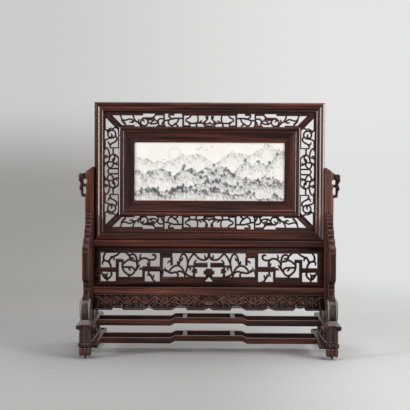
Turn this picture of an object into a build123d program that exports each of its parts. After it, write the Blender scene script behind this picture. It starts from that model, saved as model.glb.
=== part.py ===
from build123d import *
import math
import os

# A framed ceramic plaque that slides down between the two posts of a carved hardwood stand.
# Millimetres. The origin is on the table at the middle of the stand, +Z is up, -Y is the front.

# Screen
screen_width = 530.0
screen_height = 318.0
frame_thickness = 24.0
outer_member_width = 21.5
fret_band_width = 35.0
inner_member_width = 35.5
mitre_key_thickness = 4.0
mitre_key_setback = 5.0
outer_key_shift = 1.5
inner_key_shift = 1.0
outer_mitre_key_size = 11.0
inner_mitre_key_size = 18.0

# Fretted boards round the plaque
fret_thickness = 6.0
fret_recess = 6.0
fret_tongue_depth = 3.8
fret_groove_depth = 4.0
fret_mitre_strip = 7.5
board_clearance = 0.1

# Plaque and what holds it from behind
plaque_thickness = 6.0
plaque_lap = 4.0
plaque_clearance = 0.3
plaque_setback = 11.0
backing_thickness = 3.5
back_bead_width = 7.0

# Tongue on each side of the screen and the groove it slides in
tongue_thickness = 8.0
tongue_depth = 6.0
tongue_length = 158.0
slide_clearance = 0.4

# Heights in the stand
leg_height = 65.0
plank_thickness = 10.7
lower_rail_bottom = 133.0
lower_rail_height = 16.5
lower_panel_height = 93.5
upper_rail_height = 15.0

# Posts
post_width = 20.0
post_depth = 34.0
post_gap = 0.5
post_above_screen_foot = 169.0
post_head_drop = 16.0
post_corner_chamfer = 1.2
post_tenon_width = 11.0
post_tenon_depth = 22.0
post_tenon_length = 8.0

# Rails and the pierced panel between them
upper_rail_depth = 26.0
lower_rail_depth = 32.0
rail_edge_radius = 4.0
rail_tenon_length = 8.0
rail_tenon_depth = 12.0
rail_tenon_shoulder = 3.0
panel_thickness = 10.0
panel_tongue = 4.0
panel_side_margin = 14.5
panel_head_margin = 15.1
panel_foot_margin = 12.4
panel_tongue_inset = 2.0
panel_tongue_shoulder = 1.0
panel_stem_width = 3.9
fret_stem_width = 3.3
leaf_width = 5.0
leaf_tip_width = 2.2

# Aprons that lean out below the lower rail, front and rear
apron_height = 36.5
apron_thickness = 8.0
apron_lean = 16.0
apron_tongue = 3.0
apron_inset = 1.5
apron_drawing_half_width = 265.4
apron_drawing_height = 36.5

# Pierced ears on the outer sides of the posts
ear_reach = 16.5
ear_drawing_width = 16.5
ear_thickness = 10.0
ear_bottom_above_screen_foot = 99.0
ear_tenon_size = 5.0
ear_tenon_depth = 4.0
ear_tenon_half_height = 2.0
ear_tenon_above_foot = 4.0
ear_tenon_below_top = 6.5
ear_above_post_shoulder = 1.0

# Standing brackets in front of and behind each post
bracket_thickness = 15.0
bracket_reach = 89.0
bracket_drawing_width = 89.0
bracket_drawing_height = 246.3
bracket_top_above_screen_foot = 64.0
bracket_cap_above_drum = 4.5
bracket_tongue_thickness = 5.0
bracket_tongue_depth = 4.0
bracket_tongue_above_plank = 36.0
bracket_tongue_below_top = 30.0
curl_width = 4.2
curl_tip_width = 2.0

# Drums on the ends of the planks
drum_radius = 25.5
drum_width = 23.5
drum_rim_width = 2.8
drum_rim_height = 1.3
drum_face_recess = 1.6
drum_boss_radius = 9.0
drum_boss_height = 1.0
drum_pad_width = 19.0
drum_pad_length = 32.0
drum_pad_height = 7.0
drum_seat_depth = 1.0
drum_end_inset = 3.0
drum_clearance = 0.3

# Planks, legs and the low rails between the legs
plank_length = 240.0
plank_width = 38.7
plank_edge_radius = 4.5
plank_end_chamfer = 1.0
plank_outward_shift = 1.0
leg_width = 24.0
leg_end_inset = 2.0
leg_tenon_size = 11.0
leg_tenon_length = 6.0
collar_bottom = 27.0
collar_top = 38.0
collar_overhang = 1.8
paw_bottom = 6.6
paw_lobe_radius = 4.6
paw_core_width = 19.0
tip_top_width = 6.6
tip_foot_width = 4.4
shield_margin = 3.0
shield_height = 0.8
side_rail_width = 16.5
side_rail_height = 14.0
side_rail_bottom = 24.0
side_rail_scroll_length = 11.0
side_rail_scroll_inset = 4.0
side_rail_bead_width = 3.5
side_rail_gutter_depth = 1.2
side_rail_gutter_inset = 16.0
side_rail_tenon_size = 6.0
side_rail_tenon_length = 5.0

# Hump-backed stretchers and the cross-pieces between them
stretcher_thickness = 8.0
stretcher_height = 12.5
stretcher_centre_y = 38.0
upper_stretcher_bottom = 64.8
lower_stretcher_bottom = 24.0
hump_rise = 5.5
hump_half_width = 77.0
hump_run = 11.0
stretcher_tenon_height = 6.0
stretcher_tenon_thickness = 5.0
stretcher_tenon_length = 6.0
stretcher_tenon_drop = 0.8
cross_piece_x = 55.0
cross_piece_width = 10.0
cross_piece_height = 9.0
cross_tenon_width = 6.0
cross_tenon_height = 5.0
cross_tenon_length = 4.0
cross_piece_drop = 0.5
joint_clearance = 0.1

# How far a cutter runs past the face it opens, or a tenon into the wood that it grows from
overshoot = 1.0

# Places that follow from the sizes above
plank_top = leg_height + plank_thickness
lower_rail_top = lower_rail_bottom + lower_rail_height
upper_rail_bottom = lower_rail_top + lower_panel_height
screen_foot = upper_rail_bottom + upper_rail_height
post_inner_x = screen_width / 2 + post_gap
post_centre_x = post_inner_x + post_width / 2
post_outer_x = post_inner_x + post_width
post_top = screen_foot + post_above_screen_foot
frame_front = -frame_thickness / 2
frame_back = frame_thickness / 2
fret_front = frame_front + fret_recess
fret_back = fret_front + fret_thickness
band_width = screen_width - 2 * outer_member_width
band_height = screen_height - 2 * outer_member_width
inner_width = band_width - 2 * fret_band_width
inner_height = band_height - 2 * fret_band_width
opening_width = inner_width - 2 * inner_member_width
opening_height = inner_height - 2 * inner_member_width
plaque_front = frame_front + plaque_setback
plaque_back = plaque_front + plaque_thickness
backing_back = plaque_back + backing_thickness
screen_centre_z = screen_foot + screen_height / 2
plank_inner_x = post_centre_x + plank_outward_shift - plank_width / 2
leg_centre_y = plank_length / 2 - leg_end_inset - leg_width / 2
leg_inner_x = post_centre_x - leg_width / 2
side_rail_inner_x = leg_inner_x - side_rail_width
drum_centre_y = plank_length / 2 - drum_end_inset - drum_radius
drum_centre_z = plank_top + drum_pad_height + drum_radius - drum_seat_depth
half_post_depth = post_depth / 2
apron_top_y = lower_rail_depth / 2 - apron_thickness / 2 - apron_inset
ear_top_above_screen_foot = post_above_screen_foot - post_head_drop + ear_above_post_shoulder
ear_height = ear_top_above_screen_foot - ear_bottom_above_screen_foot
panel_field_half_width = post_inner_x - panel_side_margin
panel_field_height = lower_panel_height - panel_head_margin - panel_foot_margin
panel_groove_half = panel_thickness / 2 - panel_tongue_inset + board_clearance
bracket_top = screen_foot + bracket_top_above_screen_foot

os.makedirs("parts", exist_ok=True)


def save(shape, name):
    """Write one sub-part."""
    shape.label = name
    export_step(shape, f"parts/{name}.step")


def block(x_low, x_high, y_low, y_high, z_low, z_high):
    """A box between two corners."""
    centre = ((x_low + x_high) / 2, (y_low + y_high) / 2, (z_low + z_high) / 2)
    return Pos(*centre) * Box(x_high - x_low, y_high - y_low, z_high - z_low)


def polygon(*points):
    """A flat face with straight sides."""
    return make_face(Polyline(*points, close=True))


def rectangle(x_low, x_high, z_low, z_high):
    """A flat rectangle between two corners."""
    return polygon((x_low, z_low), (x_high, z_low), (x_high, z_high), (x_low, z_high))


def upright(face, y_low, y_high):
    """A flat drawing, seen from the front, as a board between two depths."""
    return Pos(0, y_high, 0) * (Plane.XZ * extrude(face, y_high - y_low))


def sideways(face, x_low, x_high):
    """A flat drawing of depth and height, seen from +X, as a board between two places."""
    return Pos(x_low, 0, 0) * (Plane.YZ * extrude(face, x_high - x_low))


def stem(points, width, tip_width=None):
    """A carved stem through the points, narrowing evenly from width to tip_width."""
    end_width = width if tip_width is None else tip_width
    path = Spline(*points) if len(points) > 2 else Line(*points)
    stations = 2 * (len(points) - 1)
    left = []
    right = []
    for i in range(stations + 1):
        t = i / stations
        along = path % t
        half = (width + (end_width - width) * t) / 2
        across = Vector(-along.Y, along.X) * half
        left.append((path @ t) + across)
        right.append((path @ t) - across)
    end_tip = (path @ 1) + (path % 1) * (end_width / 2)
    start_tip = (path @ 0) - (path % 0) * (width / 2)
    outline = [
        Spline(*left),
        ThreePointArc(left[-1], end_tip, right[-1]),
        Spline(*reversed(right)),
        ThreePointArc(right[0], start_tip, left[0]),
    ]
    return make_face(outline)


def leaf(points):
    """A short leaf or bud that tapers away from its stem."""
    return stem(points, leaf_width, leaf_tip_width)


def curl(x, z, radius, start, hand=1):
    """A slot that winds three quarters of the way round and inward from a start angle in degrees."""
    points = []
    steps = 6
    for i in range(steps + 1):
        angle = math.radians(start + hand * 270 * i / steps)
        reach = radius * (1 - 0.55 * i / steps)
        points.append((x + reach * math.cos(angle), z + reach * math.sin(angle)))
    return stem(points, curl_width, curl_tip_width)


def ring(x, z, radius, width):
    """A round scroll."""
    return Pos(x, z) * (Circle(radius + width / 2) - Circle(radius - width / 2))


def mirrored(faces):
    """The drawing and its mirror image across the middle of the board."""
    return list(faces) + [mirror(face, about=Plane.YZ) for face in faces]


# Carvings are drawn on a square grid: across from the middle of the board, up from its foot.
# The lower panel's grid has 109.3 squares to the end of the pierced field and 28.7 up it.
panel_columns = 109.3
panel_rows = 28.7
panel_bars = [
    (94, 109.3, 9.5, 14),
    (91, 94, 0, 22.5),
    (86.5, 94, 19.3, 22.5),
    (67, 91.3, 0, 4.5),
    (49.5, 67, 10.2, 15.2),
    (64.7, 67.2, 0, 13.5),
    (46.4, 49.6, 0, 28.7),
    (37, 49.6, 24, 28.7),
    (36.5, 39, 16.5, 24.5),
    (4.3, 46.5, 0, 4.8),
    (1.4, 15, 14.5, 19),
    (0, 3.5, 4.6, 13),
    (3, 5.4, 7.5, 11),
    (14.2, 16.4, 4.5, 15),
    (12, 14.5, 8.3, 12.3),
]
panel_stems = [
    [(104, 29), (106, 26), (106.5, 23.5), (105.5, 21), (103, 20.5), (100.5, 18.5), (99, 13.5)],
    [(90.5, 29), (94, 26), (97.5, 24.5), (99.6, 22.7), (100.5, 19)],
    [(99, 10), (98.3, 7), (100, 4), (103.5, 2.4), (106, 4.5), (107.4, 7), (109.5, 9)],
    [(103, 2.5), (102.4, -0.3)],
    [(86.8, 20.5), (87.4, 17.3), (87, 13), (84.5, 9), (81.5, 6.5), (80, 4)],
    [(87, 17.3), (84.5, 19.5), (82, 21.3), (79, 22)],
    [(83.5, 29), (81.5, 27), (79.8, 25), (79.4, 22.5), (77, 21), (73, 20.5)],
    [(87, 15), (81.5, 14.4), (77, 13.8), (75, 11.5), (76, 8.5), (80, 6.2)],
    [(80, 25), (78, 27.3), (75.4, 27), (73.3, 24), (72.7, 18.5), (72.4, 14), (74.8, 10.5)],
    [(72.5, 16.5), (71, 20.5), (68.3, 22.7), (65, 23.5), (61.5, 22.2), (60.1, 19), (60.5, 14.5)],
    [(62, 22.4), (57, 21.8), (54.4, 23), (54, 25.5), (56, 27)],
    [(60.5, 10.5), (60, 6.5), (58, 4.6), (56.5, 2), (54.5, -0.3)],
    [(46, 11), (43.5, 11.6), (40.5, 9.4), (36.5, 8.8), (33, 9.4), (31.5, 7.5), (32, 4.3)],
    [(40.5, 9.4), (39, 12), (35.5, 15.3), (31.5, 16.2), (28, 14.3), (25.5, 10.5), (24, 4.3)],
    [(33, 9), (28.8, 10.3), (25.3, 8.5)],
    [(31.3, 16), (29.3, 21.5), (28.3, 25.5), (25.7, 28), (23, 25.5), (21.8, 22), (21.5, 17.5), (24, 8)],
    [(14.5, 29), (18, 25.3), (20, 22), (21.6, 18)],
    [(15.5, 28.3), (12.3, 25.5), (9.5, 22.8), (5.5, 21.9), (2, 23), (0.7, 26), (0.5, 29)],
    [(15, 15.5), (18.5, 15.4), (22.4, 13)],
]
panel_leaves = [
    [(98.4, 24.4), (96.3, 23.6), (95.8, 21.4)],
    [(105.5, 21), (107.2, 19.6), (107.3, 17.2)],
    [(106, 6.4), (104.8, 6.6), (103.6, 5.2)],
    [(103.2, 3), (103.4, 5.6), (102.4, 8)],
    [(79.4, 22.2), (77.6, 23.6), (75.8, 23)],
    [(80.6, 14), (80.4, 12.2), (79, 11.2)],
    [(72.8, 13.6), (71, 15), (70.3, 16.8)],
    [(68.5, 22.7), (69.6, 24.9), (68.8, 27.2)],
    [(67.2, 12.4), (69.2, 13), (70.2, 11.8)],
    [(60.4, 16.4), (61.8, 17), (62.2, 18.6)],
    [(59, 6.4), (61, 6.8), (62.2, 5.8)],
    [(57.4, 3.6), (56, 4.8), (55.8, 6.4)],
    [(54.2, 26), (55.6, 27), (57.4, 26.6)],
    [(38, 20.6), (40.2, 20.4), (41.6, 18.8)],
    [(42.4, 10.4), (44.2, 11.8), (44.4, 13.8)],
    [(30, 18.6), (31.4, 18.4), (32, 20)],
    [(28.8, 21.4), (27.2, 22.2), (26.6, 24)],
    [(19.6, 15.4), (18.6, 13.4), (19.2, 11.6)],
    [(14.5, 17.5), (14.4, 20), (12.6, 21.6)],
    [(1.6, 23.6), (4, 24.6), (4.2, 26.6)],
    [(14.4, 11.4), (16.2, 11.2), (17.2, 9.8)],
    [(24, 8.4), (21.4, 6.4), (18, 5.2), (14.6, 5)],
]

# The fretted boards above and below the plaque: 105.75 squares to the outer corner, 15.2 up the band.
board_columns = 105.75
board_rows = 15.2
board_bars = [
    (66.7, 100, 11.3, 13.4),
    (45, 54.9, 11.3, 13.4),
    (35.3, 40.7, 11.3, 13.4),
    (-0.1, 27.8, 11.3, 13.4),
    (75, 100, 0.2, 1.7),
    (63, 70, 0.2, 1.7),
    (44, 53, 0.2, 1.7),
    (31, 33, 0.2, 1.7),
    (19, 27.5, 0.2, 1.7),
    (12, 13, 0.2, 1.7),
    (-0.1, 5.6, 0.2, 1.7),
    (44.8, 46.4, 0.2, 13.4),
    (25.6, 27.4, 0.2, 13.4),
    (55, 66.8, 8, 9.5),
    (27.4, 35.3, 7.8, 9.4),
]
board_stems = [
    [(89.5, 12), (88.4, 9), (87.2, 6.9), (83.5, 6.7), (79.5, 7.7), (76.3, 6.4), (73.3, 5.2), (69, 0.9)],
    [(88, 7), (86.6, 5), (85, 3.6), (84.3, 1)],
    [(76.5, 12), (75.8, 8.5), (73.5, 5.3)],
    [(58, 8.7), (55.8, 10), (54.2, 12)],
    [(57.2, 8.6), (54, 6.6), (51.8, 4.4), (50.8, 1)],
    [(51.6, 4.6), (51, 7.2), (48.6, 8.3), (45.6, 7.2)],
    [(61.6, 5), (59, 3.4), (55.6, 3), (52, 4.6)],
    [(45.6, 6.4), (40.8, 7), (37.3, 8), (34.6, 8.8)],
    [(40.8, 7), (41, 3.6), (38.6, 1.3), (35, 2.5), (32, 5.5), (31, 8.4)],
    [(19, 12), (21.2, 9), (24.3, 7), (21.5, 4.9), (18.5, 3.7), (12.5, 4), (7.5, 3.7), (4, 0.9)],
    [(12.5, 12), (11.6, 8), (12.5, 4)],
    [(2.4, 12), (2.4, 8), (5, 5.2), (7.5, 3.7)],
    [(5.2, 4.8), (2, 3), (0, 4.6)],
]
board_leaves = [
    [(84.8, 3.2), (86.4, 4.4), (87.8, 5.4)],
    [(76.4, 5.6), (78, 4.4), (79.8, 4.8)],
    [(70.6, 3.4), (71.3, 5.4), (70.8, 7.2)],
    [(67.6, 7.2), (66.2, 6.2), (65.4, 5.2)],
    [(61.4, 7.4), (58.4, 7), (55.6, 5.8)],
    [(58.4, 3.2), (58.2, 4.4), (57.2, 5.2)],
    [(46.2, 4.8), (47.4, 3.2), (48.4, 1.2)],
    [(40.6, 11.8), (40.2, 9.6), (38.6, 9.2)],
    [(34.6, 3), (33, 2), (32.4, 0.6)],
    [(20.6, 4.2), (19.8, 2.6), (19.6, 0.8)],
    [(12.6, 4), (13.4, 2.6), (13.2, 0.8)],
    [(10, 4.2), (9.2, 5.4), (7.8, 6.2)],
    [(2.4, 8.4), (3.4, 9.4), (3.8, 10.8)],
]
board_ring = (65.4, 4.7, 3.7)

# The upright boards beside the plaque: 15.2 squares across from the outer edge, and 59.7 up from
# the middle to the outer corner. The lower half mirrors the upper.
side_columns = 15.2
side_rows = 59.7
side_bars = [
    (0.7, 1.8, 41, 56),
    (0.7, 9.2, 40.6, 41.7),
    (0.7, 1.8, 20.8, 31.8),
    (14.1, 15.2, 22.9, 44),
    (6.2, 15.2, 22.8, 23.9),
    (14.1, 15.2, -0.1, 13.8),
]
side_stems = [
    [(8.2, 33.2), (5, 32.8), (1.3, 31)],
    [(11.6, 34.9), (12.8, 31.5), (9.8, 28.7), (6.8, 27), (6.6, 23.3)],
    [(1.3, 23.5), (4, 21.9), (5.2, 18.6), (6.2, 15.2)],
    [(9.2, 23.2), (9.2, 17)],
    [(9.2, 17.4), (6, 15.2), (0.6, 13.4)],
    [(9, 17.3), (11.4, 16.3), (14.6, 13)],
    [(6, 15.1), (5.4, 12.5), (4.6, 9.8), (0.6, 8)],
    [(9.4, 17), (10.6, 12.2), (8.4, 9.6), (4.8, 10)],
    [(8.4, 9.6), (11, 7.6), (14.8, 6.4)],
    [(5, 9.8), (3.6, 6.6), (5.6, 3.2), (9.6, 2.6), (14.8, 2.2)],
    [(9.4, 8.8), (8.8, 5.6), (6, 3)],
    [(5.6, 3.2), (3.8, 0)],
    [(8.2, 40.6), (10.6, 43.4), (14.4, 43.4)],
]
side_leaves = [
    [(6.6, 26.8), (5, 27.6), (4.4, 29.4)],
    [(7.6, 34), (8, 35.8), (7.2, 37.4)],
    [(0.8, 13.6), (1.6, 15.4), (3, 15.8)],
    [(10.3, 12.4), (9, 12), (8.6, 10.6)],
    [(3.8, 8.8), (2, 7.8), (1.2, 6.2)],
    [(10.2, 8.2), (12, 7.6), (13.2, 9.2)],
    [(3.6, 40), (5.2, 41.8), (7.8, 43.2)],
]
side_ring = (7.8, 37.1, 3.9)


def on_grid(points, square_x, square_z, z0=0.0):
    """Grid squares turned into millimetres."""
    return [(x * square_x, z0 + z * square_z) for x, z in points]


def carving(bars, stems, leaves, width, square_x, square_z, z0=0.0):
    """Everything that stands in a pierced field: straight bars, curved stems and leaves."""
    faces = []
    for x_low, x_high, z_low, z_high in bars:
        (a, b), (c, d) = on_grid([(x_low, z_low), (x_high, z_high)], square_x, square_z, z0)
        faces.append(rectangle(a, c, b, d))
    for line in stems:
        faces.append(stem(on_grid(line, square_x, square_z, z0), width))
    for line in leaves:
        faces.append(leaf(on_grid(line, square_x, square_z, z0)))
    return faces


def grid_ring(place, square_x, square_z):
    """A round scroll given by its centre and radius in grid squares."""
    x, z, radius = place
    return ring(x * square_x, z * square_z, radius * min(square_x, square_z), fret_stem_width)


def moulding(profile, length):
    """A straight moulding: its section is drawn as distance from the outer edge and depth."""
    return extrude(make_face(profile), length / 2, both=True)


def outer_profile():
    """Section of the outer frame: rounded arris, wide bead, small bead, fret groove."""
    width = outer_member_width
    front = frame_front
    back = frame_back
    arris = 6.0
    quirk = 1.6
    bead_start = 8.6
    bead_end = 17.2
    bead_middle = (bead_start + bead_end) / 2
    small_start = bead_end + 0.8
    small_middle = (small_start + width) / 2
    groove_front = fret_front - board_clearance
    groove_back = fret_back + board_clearance
    groove_end = width - fret_groove_depth
    rounding = CenterArc((arris, front + arris), arris, 180, 90)
    return [
        Line((0, back), (0, front + arris)),
        rounding,
        Line((arris, front), (bead_start - 0.6, front)),
        Line((bead_start - 0.6, front), (bead_start, front + quirk)),
        ThreePointArc((bead_start, front + quirk), (bead_middle, front), (bead_end, front + quirk)),
        Line((bead_end, front + quirk), (small_start, front + quirk)),
        ThreePointArc((small_start, front + quirk), (small_middle, front + 0.3), (width, front + quirk)),
        Polyline(
            (width, front + quirk),
            (width, groove_front),
            (groove_end, groove_front),
            (groove_end, groove_back),
            (width, groove_back),
            (width, back),
            (0, back),
        ),
    ]


def inner_profile():
    """Section of the inner frame: half-round, thin bead, cove, flat, lip and plaque rabbet."""
    width = inner_member_width
    front = frame_front
    back = frame_back
    bead = 8.0
    flat_front = plaque_front - 4.0
    thin_start = 10.0
    thin_end = 12.5
    thin_middle = (thin_start + thin_end) / 2
    cove_end = 22.0
    lip_slope = 1.5
    rabbet = width - plaque_lap - plaque_clearance
    groove_front = fret_front - board_clearance
    groove_back = fret_back + board_clearance
    return [
        Polyline(
            (0, back),
            (0, groove_back),
            (fret_groove_depth, groove_back),
            (fret_groove_depth, groove_front),
            (0, groove_front),
            (0, front + bead / 2),
        ),
        ThreePointArc((0, front + bead / 2), (bead / 2, front), (bead, front + bead / 2)),
        Polyline((bead, front + bead / 2), (bead + 0.8, front + bead / 2 + 0.4), (thin_start, front + 3)),
        ThreePointArc((thin_start, front + 3), (thin_middle, front + 1.8), (thin_end, front + 3)),
        ThreePointArc((thin_end, front + 3), (thin_end + 3.2, front + 5.2), (cove_end, flat_front - 0.8)),
        Polyline(
            (cove_end, flat_front - 0.8),
            (cove_end + 1.2, flat_front - 0.8),
            (cove_end + 1.2, flat_front),
            (width - lip_slope, flat_front),
            (width, flat_front + lip_slope),
            (width, plaque_front),
            (rabbet, plaque_front),
            (rabbet, back),
            (0, back),
        ),
    ]


def mitre_mask(width, height, member):
    """The long trapezium, seen from the front, that one mitred upright member fills."""
    half_w = width / 2
    half_h = height / 2
    outline = polygon(
        (-half_w, -half_h),
        (-half_w, half_h),
        (-half_w + member, half_h - member),
        (-half_w + member, -half_h + member),
    )
    return upright(outline, -frame_thickness, frame_thickness)


def mitred_frame(profile, width, height, member):
    """Left, right, top and bottom members round the origin, mitred at 45 degrees."""
    bar_left = Pos(-width / 2, 0, 0) * moulding(profile, height)
    left = bar_left & mitre_mask(width, height, member)
    right = mirror(left, about=Plane.YZ)
    bar_top = Pos(0, 0, height / 2) * (Rot(0, 90, 0) * moulding(profile, width))
    mask_top = Rot(0, 90, 0) * mitre_mask(height, width, member)
    top = bar_top & mask_top
    bottom = mirror(top, about=Plane.XY)
    return {"left": left, "right": right, "top": top, "bottom": bottom}


def mitre_keys(width, height, corner_inset, size, clearance=0.0):
    """Flat square keys hidden in the four mitres of a frame."""
    keys = []
    half = size / 2 + clearance
    half_depth = mitre_key_thickness / 2 + clearance
    key_y = frame_back - mitre_key_setback
    for side in (-1, 1):
        for level in (-1, 1):
            x = side * (width / 2 - corner_inset)
            z = level * (height / 2 - corner_inset)
            keys.append(block(x - half, x + half, key_y - half_depth, key_y + half_depth, z - half, z + half))
    return keys


def cut_all(shape, cutters):
    """A shape with several others taken out of it."""
    for cutter in cutters:
        shape = shape - cutter
    return shape


def make_frames():
    """Outer and inner mitred frames with their hidden keys, in place in the screen."""
    lift = Pos(0, 0, screen_centre_z)
    outer_inset = outer_member_width / 2 - outer_key_shift
    inner_inset = inner_member_width / 2 - inner_key_shift
    outer = mitred_frame(outer_profile(), screen_width, screen_height, outer_member_width)
    inner = mitred_frame(inner_profile(), inner_width, inner_height, inner_member_width)
    outer_keys = mitre_keys(screen_width, screen_height, outer_inset, outer_mitre_key_size)
    inner_keys = mitre_keys(inner_width, inner_height, inner_inset, inner_mitre_key_size)
    outer_slots = mitre_keys(screen_width, screen_height, outer_inset, outer_mitre_key_size, joint_clearance)
    inner_slots = mitre_keys(inner_width, inner_height, inner_inset, inner_mitre_key_size, joint_clearance)
    tongue_foot = -screen_height / 2
    tongue = block(
        -screen_width / 2 - tongue_depth,
        -screen_width / 2,
        -tongue_thickness / 2,
        tongue_thickness / 2,
        tongue_foot,
        tongue_foot + tongue_length,
    )
    outer["left"] = outer["left"] + tongue
    outer["right"] = outer["right"] + mirror(tongue, about=Plane.YZ)
    for side, shape in outer.items():
        save(lift * cut_all(shape, outer_slots), f"outer_frame_{side}")
    for side, shape in inner.items():
        save(lift * cut_all(shape, inner_slots), f"inner_frame_{side}")
    save(lift * Compound(children=outer_keys), "outer_frame_keys")
    save(lift * Compound(children=inner_keys), "inner_frame_keys")


def make_plaque():
    """Plaque, the board behind it and the four beads that hold both in the rabbet."""
    lift = Pos(0, 0, screen_centre_z)
    half_w = opening_width / 2 + plaque_lap
    half_h = opening_height / 2 + plaque_lap
    plaque = block(-half_w, half_w, plaque_front, plaque_back, -half_h, half_h)
    save(lift * plaque, "plaque")
    backing = block(-half_w, half_w, plaque_back, backing_back, -half_h, half_h)
    save(lift * backing, "backing_board")
    inner_w = half_w - back_bead_width
    inner_h = half_h - back_bead_width
    long_bead = polygon((-half_w, half_h), (half_w, half_h), (inner_w, inner_h), (-inner_w, inner_h))
    side_bead = polygon((-half_w, -half_h), (-half_w, half_h), (-inner_w, inner_h), (-inner_w, -inner_h))
    beads = []
    for face, plane in ((long_bead, Plane.XY), (side_bead, Plane.YZ)):
        bead = upright(face, backing_back, frame_back)
        beads.append(bead)
        beads.append(mirror(bead, about=plane))
    save(lift * Compound(children=beads), "back_beads")


def make_long_fret():
    """The fretted board above the plaque and its mirror image below."""
    half = band_width / 2
    tongue = fret_tongue_depth
    inner_half = half - fret_band_width
    square_x = half / board_columns
    square_z = fret_band_width / board_rows
    board = polygon(
        (-half - tongue, fret_band_width + tongue),
        (half + tongue, fret_band_width + tongue),
        (inner_half - tongue, -tongue),
        (-inner_half + tongue, -tongue),
    )
    strip = fret_mitre_strip * math.sqrt(2)
    field_low = 0.4 * square_z
    field_high = 13.2 * square_z
    field = polygon(
        (-inner_half - field_high + strip, field_high),
        (inner_half + field_high - strip, field_high),
        (inner_half + field_low - strip, field_low),
        (-inner_half - field_low + strip, field_low),
    )
    faces = carving(board_bars, board_stems, board_leaves, fret_stem_width, square_x, square_z)
    faces.append(grid_ring(board_ring, square_x, square_z))
    fret = (board - field) + mirrored(faces)
    fret = fret & board
    solid = upright(fret, fret_front, fret_back)
    top = Pos(0, 0, screen_centre_z + inner_height / 2) * solid
    save(top, "fret_top")
    bottom = Pos(0, 0, screen_centre_z) * mirror(Pos(0, 0, inner_height / 2) * solid, about=Plane.XY)
    save(bottom, "fret_bottom")


def make_side_frets():
    """The upright fretted boards left and right of the plaque."""
    half = band_height / 2
    tongue = fret_tongue_depth
    inner_half = half - fret_band_width
    square_x = fret_band_width / side_columns
    square_z = half / side_rows
    board = polygon(
        (-tongue, half + tongue),
        (-tongue, -half - tongue),
        (fret_band_width + tongue, -inner_half + tongue),
        (fret_band_width + tongue, inner_half - tongue),
    )
    strip = fret_mitre_strip * math.sqrt(2)
    field_low = 0.8 * square_x
    field_high = 15.0 * square_x
    field = polygon(
        (field_low, half - field_low - strip),
        (field_low, -half + field_low + strip),
        (field_high, -half + field_high + strip),
        (field_high, half - field_high - strip),
    )
    faces = carving(side_bars, side_stems, side_leaves, fret_stem_width, square_x, square_z)
    faces.append(grid_ring(side_ring, square_x, square_z))
    lower = [mirror(face, about=Plane.XZ) for face in faces]
    fret = (board - field) + faces + lower
    fret = fret & board
    solid = Pos(-band_width / 2, 0, screen_centre_z) * upright(fret, fret_front, fret_back)
    save(solid, "fret_left")
    save(mirror(solid, about=Plane.YZ), "fret_right")


def make_lower_panel():
    """The pierced board between the rails, with tongues all round."""
    half = post_inner_x
    tongue = panel_tongue
    shoulder = panel_tongue_shoulder
    square_x = panel_field_half_width / panel_columns
    square_z = panel_field_height / panel_rows
    z0 = panel_foot_margin
    board = rectangle(-half, half, 0, lower_panel_height)
    field = rectangle(-panel_field_half_width, panel_field_half_width, z0, z0 + panel_field_height)
    faces = carving(panel_bars, panel_stems, panel_leaves, panel_stem_width, square_x, square_z, z0)
    centre_top = z0 + 4.8 * square_z
    centre_block = polygon((0, centre_top), (4.4 * square_x, z0), (4.4 * square_x, centre_top))
    faces.append(centre_block)
    pierced = (board - field) + mirrored(faces)
    pierced = pierced & board
    solid = upright(pierced, -panel_thickness / 2, panel_thickness / 2)
    edge = panel_thickness / 2 - panel_tongue_inset
    frame_z = lower_panel_height
    side_reach = half + tongue
    long_reach = half - shoulder
    strip = z0 / 2
    solid = solid + block(-side_reach, side_reach, -edge, edge, shoulder, shoulder + strip)
    upper = frame_z - shoulder
    solid = solid + block(-side_reach, side_reach, -edge, edge, upper - strip, upper)
    solid = solid + block(-long_reach, long_reach, -edge, edge, -tongue, strip)
    solid = solid + block(-long_reach, long_reach, -edge, edge, frame_z - strip, frame_z + tongue)
    save(Pos(0, 0, lower_rail_top) * solid, "lower_panel")


def rail(z_low, height, depth):
    """A rail between the posts with rounded front edges and a stub tenon at each end."""
    body = block(-post_inner_x, post_inner_x, -depth / 2, depth / 2, z_low, z_low + height)
    edges = body.edges().filter_by(Axis.X).sort_by(Axis.Y)
    radius = min(rail_edge_radius, height / 3)
    body = fillet(edges[:2], radius)
    return body + rail_tenons(z_low, height, 0.0)


def rail_tenons(z_low, height, clearance):
    """Both stub tenons of a rail, or the mortises for them when there is a clearance."""
    reach = post_inner_x + rail_tenon_length + clearance
    half = rail_tenon_depth / 2 + clearance
    low = z_low + rail_tenon_shoulder - clearance
    high = z_low + height - rail_tenon_shoulder + clearance
    return block(-reach, reach, -half, half, low, high)


def panel_groove(z_low, z_high):
    """The groove in a rail that a tongue of the pierced board fills."""
    reach = post_outer_x
    return block(-reach, reach, -panel_groove_half, panel_groove_half, z_low, z_high)


def apron_slots():
    """Grooves under the lower rail for the tongues of the two aprons."""
    slots = []
    for side in (-1, 1):
        centre = side * apron_top_y
        half = apron_thickness / 4 + board_clearance
        slots.append(
            block(
                -post_inner_x - overshoot,
                post_inner_x + overshoot,
                centre - half,
                centre + half,
                lower_rail_bottom - overshoot,
                lower_rail_bottom + apron_tongue + board_clearance,
            )
        )
    return slots


def make_rails():
    """Upper and lower rail, grooved for the pierced board and the aprons."""
    upper = rail(upper_rail_bottom, upper_rail_height, upper_rail_depth)
    groove_depth = panel_tongue + board_clearance
    upper = upper - panel_groove(upper_rail_bottom - overshoot, upper_rail_bottom + groove_depth)
    save(upper, "upper_rail")
    lower = rail(lower_rail_bottom, lower_rail_height, lower_rail_depth)
    lower = lower - panel_groove(lower_rail_top - groove_depth, lower_rail_top + overshoot)
    save(cut_all(lower, apron_slots()), "lower_rail")


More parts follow.
